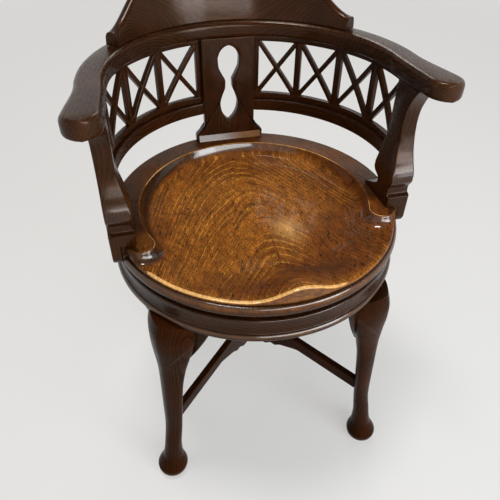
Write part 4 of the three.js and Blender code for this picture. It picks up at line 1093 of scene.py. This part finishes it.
def knee_carving(rise, t):
    """A low carved line on both flanks of the knee, from 0 to 1: it climbs from the front corner
    back to the ear, steep below, and above it the wood falls away slowly."""
    side = np.abs(np.arctan2(np.sin(t), np.cos(t)))
    over = rise - eased(side, KNEE_LINE[:, 0], KNEE_LINE[:, 1])
    ridge = hump(over, 0, np.where(over > 0, 0.016, 0.0055))
    return ridge * smoothstep((2.3 - side) / 0.4) * smoothstep((side - 0.22) / 0.25)


def leg_wear(points, ridge):
    """Rubbed outer corner, carved line and foot pad."""
    z = points[:, 2]
    reach = np.hypot(points[:, 0], points[:, 1])
    corner = 0.16 * smoothstep((reach - 0.262) / 0.012) * smoothstep((z - 0.12) / 0.1)
    foot = 0.32 * smoothstep((0.03 - z) / 0.02)
    return corner + foot + 0.30 * smoothstep((ridge - 0.75) / 0.25)


def ear_outline(corner):
    """Outline of a knee ear: square to ring and leg, with one long curve between them that bends to
    a corner point, as (1-t)^2 reach + 2t(1-t) corner + t^2 foot."""
    t = np.linspace(0, 1, 26)[:, None]
    reach, corner, foot = np.array([68, -4.0]), np.array(corner), np.array([17, -102.0])
    curve = (1 - t) ** 2 * reach + 2 * t * (1 - t) * corner + t * t * foot
    return np.vstack([[[6, 0], [68, 0]], curve, [[10, -114], [4, -120]]]) * MM


def stretcher_outline(upper):
    """Outline of one sawn stretcher: a sloping thin run, a shallow arch, a nib and the deep
    crossing, with a slot for the other board."""
    top, slope, reach, deep = 0.198, 0.18, 0.24695, 0.065
    half, fit = 0.0063, 0.00015
    depth = [(reach, 24.5), (0.112, 24.5), (0.104, 27.2), (0.096, 31.0), (0.084, 36.5),
             (0.072, 42.0), (0.060, 53.0), (0.050, 53.0), (0.038, 65.0)]
    right = np.array([[x, top - slope * x - d * MM] for x, d in depth])
    left = (right * [-1, 1])[::-1]
    middle = top - deep / 2
    crown = [[reach, top - slope * reach]]
    if upper:
        low = top - slope * 0.038 - deep
        slot_low = [[half, low], [half, middle + fit], [-half, middle + fit], [-half, low]]
        return np.vstack([[[-reach, top - slope * reach], [0, top]], crown, right, slot_low, left])
    slot = [[-half, top - slope * half], [-half, middle - fit], [half, middle - fit],
            [half, top - slope * half]]
    return np.vstack([[[-reach, top - slope * reach]], slot, crown, right, left])


# Back and arms

def quarter_round(rise):
    """How far a rounded toe has drawn in: 1 at its foot and 0 from a rise of 1, on a quarter
    circle."""
    return 1 - np.sqrt(np.maximum(1 - (1 - np.clip(rise, 0, 1)) ** 2, 0))


def support_surface(sizes):
    """An arm support: rounded rectangles stacked from the toe of its foot block to the arm. Front
    and back follow smooth curves of the height, and the inner face steps at the seat and slopes
    in."""
    height = sizes.arm_height - sizes.arm_thick - HAIR
    z = np.concatenate([np.linspace(-36, -20, 18), np.linspace(-19, -0.2, 8), [0.25], [0.35],
                        np.linspace(0.9, 60, 84), np.linspace(61.5, height / MM, 78)]) * MM
    reach, rail_rise = 0.079, 0.054
    front = -reach * eased(z, SUPPORT_FRONT[:, 1] * height, SUPPORT_FRONT[:, 0])
    front = np.where(z < -0.020, -reach + 0.016 * quarter_round((z + 0.036) / 0.016), front)
    heel = np.concatenate([SUPPORT_HEEL, [[(-18 - 3) / (-36 - 3), 50 / 54]]])
    back = 3 * MM + (-39 * MM) * eased(z, heel[:, 1] * rail_rise, heel[:, 0])
    back = np.where(z > 0.050, SUPPORT_BACK, back)
    back = np.where(z < HAIR, 3 * MM - 8 * MM * quarter_round((z + 0.036) / 0.008), back)
    inner = 0.199 + 0.012 * np.clip((z - 0.055) / 0.050, 0, 1)
    inner = np.where(z < HAIR, NOTCH_FLAT + HAIR, inner)
    corners = box_corners(inner, 0.237, front, back)
    section = soft_corners(corners, np.array([2.6, 3.4, 2.4, 2.0]) * MM, 6)
    level = np.broadcast_to((sizes.seat_height + z)[:, None, None], section.shape[:2] + (1,))
    return skin(np.concatenate([section, level], -1))


def support_nose(points, sizes):
    """The two noses of the S front, from 0 to 1, where hands and knees rub and polish it."""
    z = points[:, 2] - sizes.seat_height
    front = smoothstep((-0.044 - points[:, 1]) / 0.02)
    return front * (hump(z, 0.052, 0.016) + 0.7 * hump(z, 0.185, 0.02))


def rail_surface(splat_side, sizes):
    """A lower back rail: a rounded section between radii 216 and 236 mm, carried along the
    horseshoe from the support's back face to the splat's side, with each point's own end angles."""
    corners = box_corners(0.216, 0.236, 0.054, 0.076)
    section = soft_corners(corners, np.array([2.0, 2.5, 4.5, 3.5]) * MM, 6)[0]
    start = np.arcsin((SUPPORT_BACK + HAIR) / section[:, 0])
    end = np.arccos((splat_side + HAIR) / section[:, 0])
    t = np.linspace(0, 1, 64)[:, None]
    return skin(swept(section + [0, sizes.seat_height], start + (end - start) * t))


def fret_bars(splat_side, sizes):
    """A lattice panel: bars laid on a cylinder. Each is a rounded section carried along a straight
    line of (arc length, height); frame bars are thickest, so that crossing faces never fall
    together."""
    inner, thick = 0.221, 0.010
    middle = inner + thick / 2
    start = math.asin((SUPPORT_BACK + HAIR) / inner)
    end = math.acos((splat_side + HAIR) / (inner + thick))
    low, high = 0.0763, sizes.arm_height - sizes.arm_thick - HAIR
    long, frame_wide, bays = (end - start) * middle, 0.011, 4
    pitch = (long - frame_wide) / bays
    half = frame_wide / 2
    bars = [((0, low + half), (long, low + half), half, thick),
            ((0, high - half), (long, high - half), half, thick)]
    bars += [((half + pitch * k, low + 0.0004), (half + pitch * k, high - 0.0004), half,
              thick - 0.0003) for k in range(bays + 1)]
    for k in range(bays):
        s0, s1 = half + pitch * k, half + pitch * (k + 1)
        bars.append(((s0, low + half), (s1, high - half), 0.004, thick - 0.0012))
        bars.append(((s0, high - half), (s1, low + half), 0.004, thick - 0.0018))
    parts = []
    for number, (a, b, wide, deep) in enumerate(bars):
        a, b = np.array(a), np.array(b)
        way = (b - a) / np.linalg.norm(b - a)
        across = np.array([-way[1], way[0]])
        section = soft_corners(box_corners(-deep / 2, deep / 2, -wide, wide), 0.0014, 4)[0]
        t = np.linspace(0, 1, 26 if abs(way[0]) > 0.9 else 10)[:, None]
        line = a + (b - a) * t
        flat = line[:, None, :] + section[None, :, 1:] * across
        angle = start + flat[..., 0] / middle
        radius = middle + section[None, :, 0]
        points, faces = skin(np.stack([radius * np.cos(angle), radius * np.sin(angle),
                                       sizes.seat_height + flat[..., 1]], -1))
        parts.append((points, faces, points[-1] - points[-2], number * 0.7))
    return parts


def splat_surface(sizes):
    """The splat as a ring-shaped board: matching points run round its outline and round the pierced
    vase, and each pair carries the same rounded path over edge, back, hole and front."""
    high = sizes.arm_height - sizes.arm_thick - 2 * HAIR
    count = 132
    outline = SPLAT_SIDE * [0.065, high]
    side = even_steps(soft_line(outline, 0.0025), count)
    hole = VASE * [0.048, high]
    dense = np.linspace(0, len(VASE) - 1, 400)
    smooth = np.stack([eased(dense, np.arange(len(VASE)), hole[:, k]) for k in (0, 1)], -1)
    vase = even_steps(smooth, count)
    full = np.vstack([side, (side * [-1, 1])[-2:0:-1]])
    pierced = np.vstack([vase, (vase * [-1, 1])[-2:0:-1]])

    def inwards(loop):
        """Directions square to a loop's line, on its left as it runs."""
        way = np.roll(loop, -1, 0) - np.roll(loop, 1, 0)
        way /= np.linalg.norm(way, axis=1, keepdims=True)
        return np.stack([-way[:, 1], way[:, 0]], -1)

    thick, soft = 0.015, 0.0018
    n_out, n_in = inwards(full), inwards(pierced)
    bend = ((1, 0), (0.45, 0.12), (0.12, 0.45), (0, 1))
    rows = [(pierced - n_in * soft * share, depth * soft) for share, depth in bend]
    rows += [(pierced - n_in * soft * share, thick - depth * soft) for share, depth in bend[::-1]]
    rows += [(full + n_out * soft * share, thick - depth * soft) for share, depth in bend]
    rows += [(full + n_out * soft * share, depth * soft) for share, depth in bend[::-1]]
    foot = sizes.seat_height + HAIR
    return skin(np.stack([
        np.stack([flat[:, 0] + SPLAT_SHIFT, np.full(len(flat), 0.208 + depth), flat[:, 1] + foot],
                 -1) for flat, depth in rows]), closed=True)


def splat_skirt(sizes):
    """The sloping face of the splat's plinth: a wedge 4.6 mm deep at the seat and nothing at its
    top, drawn in at both ends. Its sunk back lies inside the splat."""
    run = np.array([-0.0585, -0.058, -0.055, -0.04, -0.02, -0.005, 0.01, 0.03, 0.065, 0.068,
                    0.0685])
    slim = np.array([0.1, 0.6, 1, 1, 1, 1, 1, 1, 1, 0.6, 0.1])[:, None]
    sunk = 0.2126
    wedge = np.array([[sunk, 0.0004], [0.2034, 0.0004], [0.2030, 0.0016], [0.2076, 0.0125],
                      [0.2084, 0.0129], [sunk, 0.0129]])
    size = (len(run), len(wedge))
    return skin(np.stack([np.broadcast_to(run[:, None], size), sunk + (wedge[:, 0] - sunk) * slim,
                          np.broadcast_to(wedge[:, 1] + sizes.seat_height, size)], -1))


def soft_line(points, radius):
    """A broken line whose inner corners are cut by short curves."""
    t = np.linspace(0, 1, 5)[:, None]
    out = [points[:1]]
    for a, p, b in zip(points[:-2], points[1:-1], points[2:]):
        into = p + (a - p) / np.linalg.norm(a - p) * radius
        leave = p + (b - p) / np.linalg.norm(b - p) * radius
        out.append((1 - t) ** 2 * into + 2 * t * (1 - t) * p + t * t * leave)
    return np.vstack(out + [points[-1:]])


def slab_section(half, high):
    """Section of an arm: a board with rounded edges and a slightly crowned top, as (out, up) rows,
    one for each half width."""
    section = soft_corners(box_corners(-half, half, -high, high), np.array([6, 6, 9, 9]) * MM, 7)
    out = np.clip(section[..., 0] / half[:, None], -1, 1)
    section[..., 1] -= np.where(section[..., 1] > 0, ARM_CROWN * out ** 2, 0)
    return section


def arm_surface(sizes):
    """An arm: rounded sections along a line that runs back from the hand-hold and then follows the
    horseshoe to its joint. Near the nose the half width follows a quarter ellipse."""
    forward, high = 0.118, sizes.arm_thick / 2
    share = np.concatenate([1 - 0.24 * (1 - np.cos(np.linspace(0.02, np.pi / 2, 26))),
                            np.linspace(0.76, 0, 44)[1:]])
    swell = smoothstep(share)
    tip = np.clip((share - 0.76) / 0.24, 0, 1)
    half = (ARM_HALF + 0.006 * swell) * np.sqrt(np.maximum(1 - tip ** 2, 0.0004))
    hand = slab_section(half, high)
    level = sizes.seat_height + sizes.arm_height - high
    hand_rows = np.stack([BOW_RADIUS + 0.012 * swell[:, None] + hand[..., 0],
                          np.broadcast_to(-forward * share[:, None], hand.shape[:2]),
                          level + hand[..., 1]], -1)
    angles = np.linspace(0, ARM_JOINT - ARM_GAP, 40)[1:]
    bend_rows = swept(slab_section(np.array([ARM_HALF]), high) + [BOW_RADIUS, level], angles)
    return skin(np.concatenate([hand_rows, bend_rows]))


def bow_surface(sizes):
    """The back of the horseshoe: the arm's section carried round from joint to joint."""
    high = sizes.arm_thick / 2
    joint = ARM_JOINT + ARM_GAP
    section = slab_section(np.array([ARM_HALF]), high)
    level = sizes.seat_height + sizes.arm_height - high
    return skin(swept(section + [BOW_RADIUS, level], np.linspace(joint, np.pi - joint, 90)))


def crest_surface(sizes):
    """The crest: a raked board on the bow. Its top falls away over 55% of each half in an S curve,
    and it leans back 0.2 mm for each millimetre of height."""
    t = np.linspace(0, 1, 150)
    angles = math.radians(33) + t * math.radians(114)
    rise = 0.082 * (0.24 + 0.76 * smoothstep((1 - np.abs(2 * t - 1)) / 0.55))
    foot = sizes.seat_height + sizes.arm_height + HAIR
    inner = np.full(len(t), 0.214)
    lean = 0.2 * rise
    corners = np.stack([np.stack([inner, np.full(len(t), foot)], -1),
                        np.stack([inner + 0.022, np.full(len(t), foot)], -1),
                        np.stack([inner + lean + 0.016, foot + rise], -1),
                        np.stack([inner + lean, foot + rise], -1)], 1)
    section = soft_corners(corners, np.array([1.5, 2.5, 9.5, 9.5]) * MM, 7)
    return skin(swept(section, angles))


# Operators

class ChairBuilder:
    """What the operators share: sizes and finishes of the scene."""
    bl_options = {"REGISTER", "UNDO"}

    def begin(self, context):
        """Takes the sizes and finishes from the scene."""
        self.sizes = context.scene.chair_sizes
        self.worn_oak, self.dark_oak, self.waxed_oak, self.iron, self.steel = finishes(context)


class CHAIR_OT_seat(ChairBuilder, bpy.types.Operator):
    """Dished seat board with rim, lobes, pommel and moulded edge"""
    bl_idname = "chair.seat"
    bl_label = "Seat board"

    def execute(self, context):
        self.begin(context)
        rows, turn, radius = seat_surface(self.sizes)
        points, faces = skin(rows)
        # each layer ends with the middles of the top and of the underside
        wear, varnish, tone = [
            np.concatenate([layer(rows, turn, radius, self.sizes).ravel(), middles])
            for layer, middles in ((seat_wear_and_painted_light, [1.0, 0.0]), (seat_varnish, [0.05, 0.1]),
                                   (seat_warmth_and_shade, [0.6, 0.0]))]
        board = make_piece(context, "seat_board", [(points, faces, (0, 1, 0), 0.0)], self.worn_oak,
                           "seat", ["seat"], wear=wear, sharp=60, shine=varnish)
        # tone of the bare oak from red brown to gold, and painted shade where it falls below zero
        store(board.data, "warmth_and_shade", tone)
        return {"FINISHED"}


class CHAIR_OT_ring(ChairBuilder, bpy.types.Operator):
    """Four sawn and moulded segments of the ring frame"""
    bl_idname = "chair.ring"
    bl_label = "Ring frame"

    def execute(self, context):
        self.begin(context)
        for number, side in enumerate(("left", "front", "right", "back")):
            part = ring_segment(number, self.sizes)
            make_piece(context, f"ring_quarter_{side}", [part], self.dark_oak, "base",
                       [f"ring_segment_{side}"], wear=ring_wear(part[0]),
                       shine=ring_varnish(part[0]))
        return {"FINISHED"}


class CHAIR_OT_legs(ChairBuilder, bpy.types.Operator):
    """Four cabriole legs, each with two knee ears"""
    bl_idname = "chair.legs"
    bl_label = "Legs and ears"

    def execute(self, context):
        self.begin(context)
        names = ("front_left", "front_right", "back_right", "back_left")
        for number, name in enumerate(names):
            angle = math.radians(-135 + 90 * number) + self.sizes.base_turn
            points, faces, ridge = leg_surface(angle, self.sizes)
            flank = 0.02 + 0.12 * smoothstep((ridge - 0.05) / 0.5)
            make_piece(context, f"cabriole_{name}", [(points, faces, (0, 0, 1), number + 0.1)],
                       self.waxed_oak, "base", [f"leg_{name}"],
                       wear=leg_wear(points, ridge), sharp=50, shine=flank)
            for letter, way in (("a", 1), ("b", -1)):
                at_side = (way > 0) == (number % 2 == 1)
                outline = ear_outline((34, -12.0) if at_side else (44, -60.0))
                points, faces = slab(outline * [way, 1], 0.0085)
                upright = np.stack([points[:, 1] + RING_MIDDLE + 3 * MM, points[:, 0],
                                    points[:, 2] + LEG_TOP], -1)
                make_piece(context, f"ear_{name}_{letter}",
                           [(turn_z(upright, angle), faces, (0, 0, 1), number + 0.3 * way)],
                           self.waxed_oak, "base", [f"bracket_{name}_{letter}"],
                           wear=0.04, bevel=0.0016, shine=0.03)
        return {"FINISHED"}


class CHAIR_OT_stretchers(ChairBuilder, bpy.types.Operator):
    """Two boards on edge, halved where they cross"""
    bl_idname = "chair.stretchers"
    bl_label = "X stretcher"

    def execute(self, context):
        self.begin(context)
        for name, upper, turn in (("lower", False, 45), ("upper", True, -45)):
            points, faces = slab(stretcher_outline(upper), 0.012)
            angle = math.radians(turn) + self.sizes.base_turn
            points = turn_z(points, angle)
            make_piece(context, f"cross_board_{name}",
                       [(points, faces, (math.cos(angle), math.sin(angle), 0), turn * 0.1)],
                       self.waxed_oak, "base", [f"stretcher_{name}"], wear=0.05,
                       bevel=0.0016, shine=0.03)
        return {"FINISHED"}


class CHAIR_OT_bearers(ChairBuilder, bpy.types.Operator):
    """Two halved rails inside the ring, from the solids with softened edges"""
    bl_idname = "chair.bearers"
    bl_label = "Bearers"

    def execute(self, context):
        self.begin(context)
        for name, along in (("bearer_across", (1, 0, 0)), ("bearer_along", (0, 1, 0))):
            softened_copy(context, name, f"{name}_rail", self.dark_oak, "base", 0.0015,
                          along)
        return {"FINISHED"}


class CHAIR_OT_supports(ChairBuilder, bpy.types.Operator):
    """Two S-fronted arm supports and the plugs over their screws"""
    bl_idname = "chair.supports"
    bl_label = "Arm supports"

    def execute(self, context):
        self.begin(context)
        part = support_surface(self.sizes)
        plug, plug_faces = turned(PLUG_SECTION * MM, 28)
        for name, place in (("left", mirrored), ("right", as_drawn)):
            points, faces = place(part)
            nose = support_nose(points, self.sizes)
            make_piece(context, f"arm_post_{name}",
                       [(points, faces, (0, -0.12, 1), len(name) * 0.6)], self.dark_oak, "seat",
                       [f"arm_support_{name}"], wear=0.22 * nose, sharp=45,
                       shine=0.20 + 0.5 * nose)
            for number, along in ((1, -0.058), (2, -0.018)):
                laid = plug[:, [2, 0, 1]] + [0.2368, along, self.sizes.seat_height - 0.014]
                points, faces = place((laid, plug_faces))
                make_piece(context, f"wood_plug_{name}_{number}",
                           [(points, faces, (0, 1, 0.3), number)], self.dark_oak, "seat",
                           [f"support_plug_{name}_{number}"], wear=0.1)
        return {"FINISHED"}


class CHAIR_OT_rails(ChairBuilder, bpy.types.Operator):
    """Lower back rails and the pierced lattice panels on them"""
    bl_idname = "chair.rails"
    bl_label = "Rails and frets"

    def execute(self, context):
        self.begin(context)
        for name, place, side in (("left", mirrored, 0.043), ("right", as_drawn, 0.053)):
            points, faces = place(rail_surface(side, self.sizes))
            way = 1 if name == "right" else -1
            make_piece(context, f"horseshoe_rail_{name}", [(points, faces, (-way, 1, 0), side * 9)],
                       self.dark_oak, "seat", [f"lower_rail_{name}"], wear=0.10)
            parts = []
            for bar_points, bar_faces, along, seed in fret_bars(side, self.sizes):
                bar_points, bar_faces = place((bar_points, bar_faces))
                parts.append((bar_points, bar_faces, along * [way, 1, 1], seed))
            make_piece(context, f"lattice_{name}", parts, self.dark_oak, "seat",
                       [f"fret_panel_{name}"], wear=0.05)
        return {"FINISHED"}


class CHAIR_OT_splat(ChairBuilder, bpy.types.Operator):
    """Back splat with its plinth and pierced vase"""
    bl_idname = "chair.splat"
    bl_label = "Splat"

    def execute(self, context):
        self.begin(context)
        points, faces = splat_surface(self.sizes)
        wear = 0.25 * smoothstep((self.sizes.seat_height + 0.02 - points[:, 2]) / 0.02)
        skirt, skirt_faces = splat_skirt(self.sizes)
        way = smoothstep((skirt[:, 0] + 0.035) / 0.075)
        wear = np.concatenate([wear, 0.12 + 0.55 * way])
        shine = np.concatenate([np.full(len(points), 0.3), 0.85 - 0.8 * way])
        make_piece(context, "pierced_splat", [(points, faces, (0, 0, 1), 0.9),
                   (skirt, skirt_faces, (1, 0, 0), 0.2)], self.dark_oak, "seat", ["back_splat"],
                   wear=wear, shine=shine)
        return {"FINISHED"}


class CHAIR_OT_arms(ChairBuilder, bpy.types.Operator):
    """Arms, the bow that joins them and the crest rail"""
    bl_idname = "chair.arms"
    bl_label = "Arms and crest"

    def execute(self, context):
        self.begin(context)
        part = arm_surface(self.sizes)
        for name, place in (("left", mirrored), ("right", as_drawn)):
            points, faces = place(part)
            wear = 0.24 * smoothstep((-0.045 - points[:, 1]) / 0.06) + 0.05
            make_piece(context, f"hand_rest_{name}",
                       [(points, faces, (0.15, 1, 0), len(name) * 0.4)], self.dark_oak, "seat",
                       [f"arm_{name}"], wear=wear, sharp=50)
        for name, node, surface, seed in (("horseshoe_bow", "bow_back", bow_surface, 2.2),
                                          ("crest_board", "crest_rail", crest_surface, 3.1)):
            points, faces = surface(self.sizes)
            make_piece(context, name, [(points, faces, (1, 0, 0), seed)], self.dark_oak, "seat",
                       [node], wear=0.1, sharp=50)
        return {"FINISHED"}


class CHAIR_OT_swivel(ChairBuilder, bpy.types.Operator):
    """Iron socket, seat plate, spindle, washers, nut, pin and screws"""
    bl_idname = "chair.swivel"
    bl_label = "Swivel ironwork"

    def execute(self, context):
        self.begin(context)
        for name, node, profile, finish, slot, body in (
                ("socket_casting", "swivel_socket", SOCKET_SECTION, self.iron, "iron", "base"),
                ("thrust_ring", "thrust_washer", THRUST_SECTION, self.steel, "steel", "seat"),
                ("keeper_washer", "retaining_washer", KEEPER_SECTION, self.steel, "steel", "seat")):
            points, faces = turned(profile * MM, 72, closed=True)
            make_piece(context, name, [(points, faces, (0, 0, 1), 0)], finish, body, [node])
        points, faces = turned(SPINDLE_SECTION * MM, 48)
        make_piece(context, "spindle_rod", [(points, faces, (0, 0, 1), 0)], self.steel, "seat",
                   ["spindle"])
        softened_copy(context, "seat_plate", "plate_spider", self.iron, "seat", 0.0008)
        softened_copy(context, "spindle_nut", "hex_nut", self.iron, "seat", 0.0008)
        for node in frame["nodes"].values():
            if "screw" in node.name or node.name == "split_pin":
                node.data.materials.clear()
                node.data.materials.append(self.steel)
        return {"FINISHED"}


class CHAIR_OT_studio(bpy.types.Operator):
    """Plain pale floor, soft lamps and the camera"""
    bl_idname = "chair.studio"
    bl_label = "Studio"
    bl_options = {"REGISTER", "UNDO"}

    def execute(self, context):
        stage = context.scene.chair_stage
        points, faces = turned(STUDIO_SWEEP, 64)
        mesh = new_mesh("studio_floor", points, outward(points, faces))
        mesh.shade_flat()
        floor = bpy.data.objects.new("studio_floor", mesh)
        context.scene.collection.objects.link(floor)
        paint, net, shader = principled("Floor paint")
        rays = net.add("ShaderNodeLightPath").outputs
        seen = net.math("MAXIMUM", rays["Is Camera Ray"], net.math(
            "MAXIMUM", rays["Is Glossy Ray"], rays["Is Transmission Ray"]))
        shader.inputs["Base Color"].default_value = [v * 0.42 for v in stage.floor_colour[:3]] + [1]
        shader.inputs["Emission Color"].default_value = stage.floor_colour
        away = net.add("ShaderNodeVectorMath", {0: net.place()}, operation="LENGTH")
        evened = net.band(away.outputs["Value"], 1.4, 7.0, 0.58, 0.96)
        net.put(shader.inputs["Emission Strength"], net.times(seen, evened))
        shader.inputs["Roughness"].default_value = 0.9
        shader.inputs["Specular IOR Level"].default_value = 0.1
        mesh.materials.append(paint)
        world = context.scene.world or bpy.data.worlds.new("Studio air")
        context.scene.world = world
        world.use_nodes = True
        background = next(n for n in world.node_tree.nodes if n.type == "BACKGROUND")
        background.inputs["Color"].default_value = (0.80, 0.80, 0.80, 1)
        background.inputs["Strength"].default_value = 0.25
        self.lamp(context, "overhead_lamp", (-0.5, 0.3, 4.4), (0, 0, 0.4), (1.0, 1.0),
                  stage.key_power, (1, 0.985, 0.96))
        self.lamp(context, "window_lamp", (0.94, -2.42, 1.20), (0, 0, 0.47), (3.2, 0.62),
                  stage.window_power, (0.97, 0.985, 1.0))
        self.lamp(context, "side_lamp", (1.75, -2.35, 0.95), (0, 0, 0.5), (0.9, 1.5),
                  stage.side_power, (0.74, 0.86, 1.0))
        self.lamp(context, "back_lamp", (0.81, 2.15, 2.28), (0, 0, 0.45), (0.6, 0.6),
                  stage.back_power, (1, 0.98, 0.95))
        view = bpy.data.cameras.new("photo_camera")
        view.lens = stage.lens
        view.sensor_width = 36.0
        view.shift_y = -0.001
        camera = bpy.data.objects.new("photo_camera", view)
        context.scene.collection.objects.link(camera)
        right = Vector((0.96849082, -0.24874828, 0.01224022))
        up = Vector((0.15197402, 0.62921169, 0.76223129))
        back = Vector((-0.19730541, -0.73635382, 0.64718902))
        turn = Matrix((right, up, back)).transposed().to_4x4()
        camera.matrix_world = Matrix.Translation((-0.18375, -0.66817, 0.94051)) @ turn
        context.scene.camera = camera
        context.scene.view_settings.view_transform = "Standard"
        return {"FINISHED"}

    def lamp(self, context, name, place, target, size, power, colour):
        """A soft lamp, flat and wide by high, that looks at a point."""
        light = bpy.data.lights.new(name, "AREA")
        light.energy = power
        light.shape = "RECTANGLE"
        light.size, light.size_y = size
        light.color = colour
        lamp = bpy.data.objects.new(name, light)
        context.scene.collection.objects.link(lamp)
        lamp.location = place
        lamp.rotation_euler = (Vector(target) - Vector(place)).to_track_quat("-Z", "Y").to_euler()


class CHAIR_PT_sidebar(bpy.types.Panel):
    """Lists the chair's pieces and settings"""
    bl_idname = "CHAIR_PT_sidebar"
    bl_label = "Desk chair"
    bl_space_type = "VIEW_3D"
    bl_region_type = "UI"
    bl_category = "Desk Chair"

    def draw(self, context):
        scene = context.scene
        column = self.layout.column(align=True)
        for operator in OPERATORS:
            column.operator(operator.bl_idname, text=operator.bl_label)
        for settings in (scene.chair_sizes, scene.chair_finishes, scene.chair_stage):
            box = self.layout.box()
            for key in settings.bl_rna.properties.keys():
                if key not in ("rna_type", "name"):
                    box.prop(settings, key)


OPERATORS = (CHAIR_OT_seat, CHAIR_OT_ring, CHAIR_OT_legs, CHAIR_OT_stretchers, CHAIR_OT_bearers,
             CHAIR_OT_supports, CHAIR_OT_rails, CHAIR_OT_splat, CHAIR_OT_arms, CHAIR_OT_swivel,
             CHAIR_OT_studio)
CLASSES = (ChairSizes, ChairFinishes, ChairStage) + OPERATORS + (CHAIR_PT_sidebar,)


def register():
    """Makes the classes and settings known."""
    for kind in CLASSES:
        bpy.utils.register_class(kind)
    bpy.types.Scene.chair_sizes = bpy.props.PointerProperty(type=ChairSizes)
    bpy.types.Scene.chair_finishes = bpy.props.PointerProperty(type=ChairFinishes)
    bpy.types.Scene.chair_stage = bpy.props.PointerProperty(type=ChairStage)


def unregister():
    """Takes the settings and classes away again."""
    del bpy.types.Scene.chair_stage
    del bpy.types.Scene.chair_finishes
    del bpy.types.Scene.chair_sizes
    for kind in reversed(CLASSES):
        bpy.utils.unregister_class(kind)


def main():
    """Registers the classes and builds every piece and the stage."""
    register()
    bpy.ops.chair.seat()
    bpy.ops.chair.ring()
    bpy.ops.chair.legs()
    bpy.ops.chair.stretchers()
    bpy.ops.chair.bearers()
    bpy.ops.chair.supports()
    bpy.ops.chair.rails()
    bpy.ops.chair.splat()
    bpy.ops.chair.arms()
    bpy.ops.chair.swivel()
    bpy.ops.chair.studio()


if __name__ == "__main__":
    main()
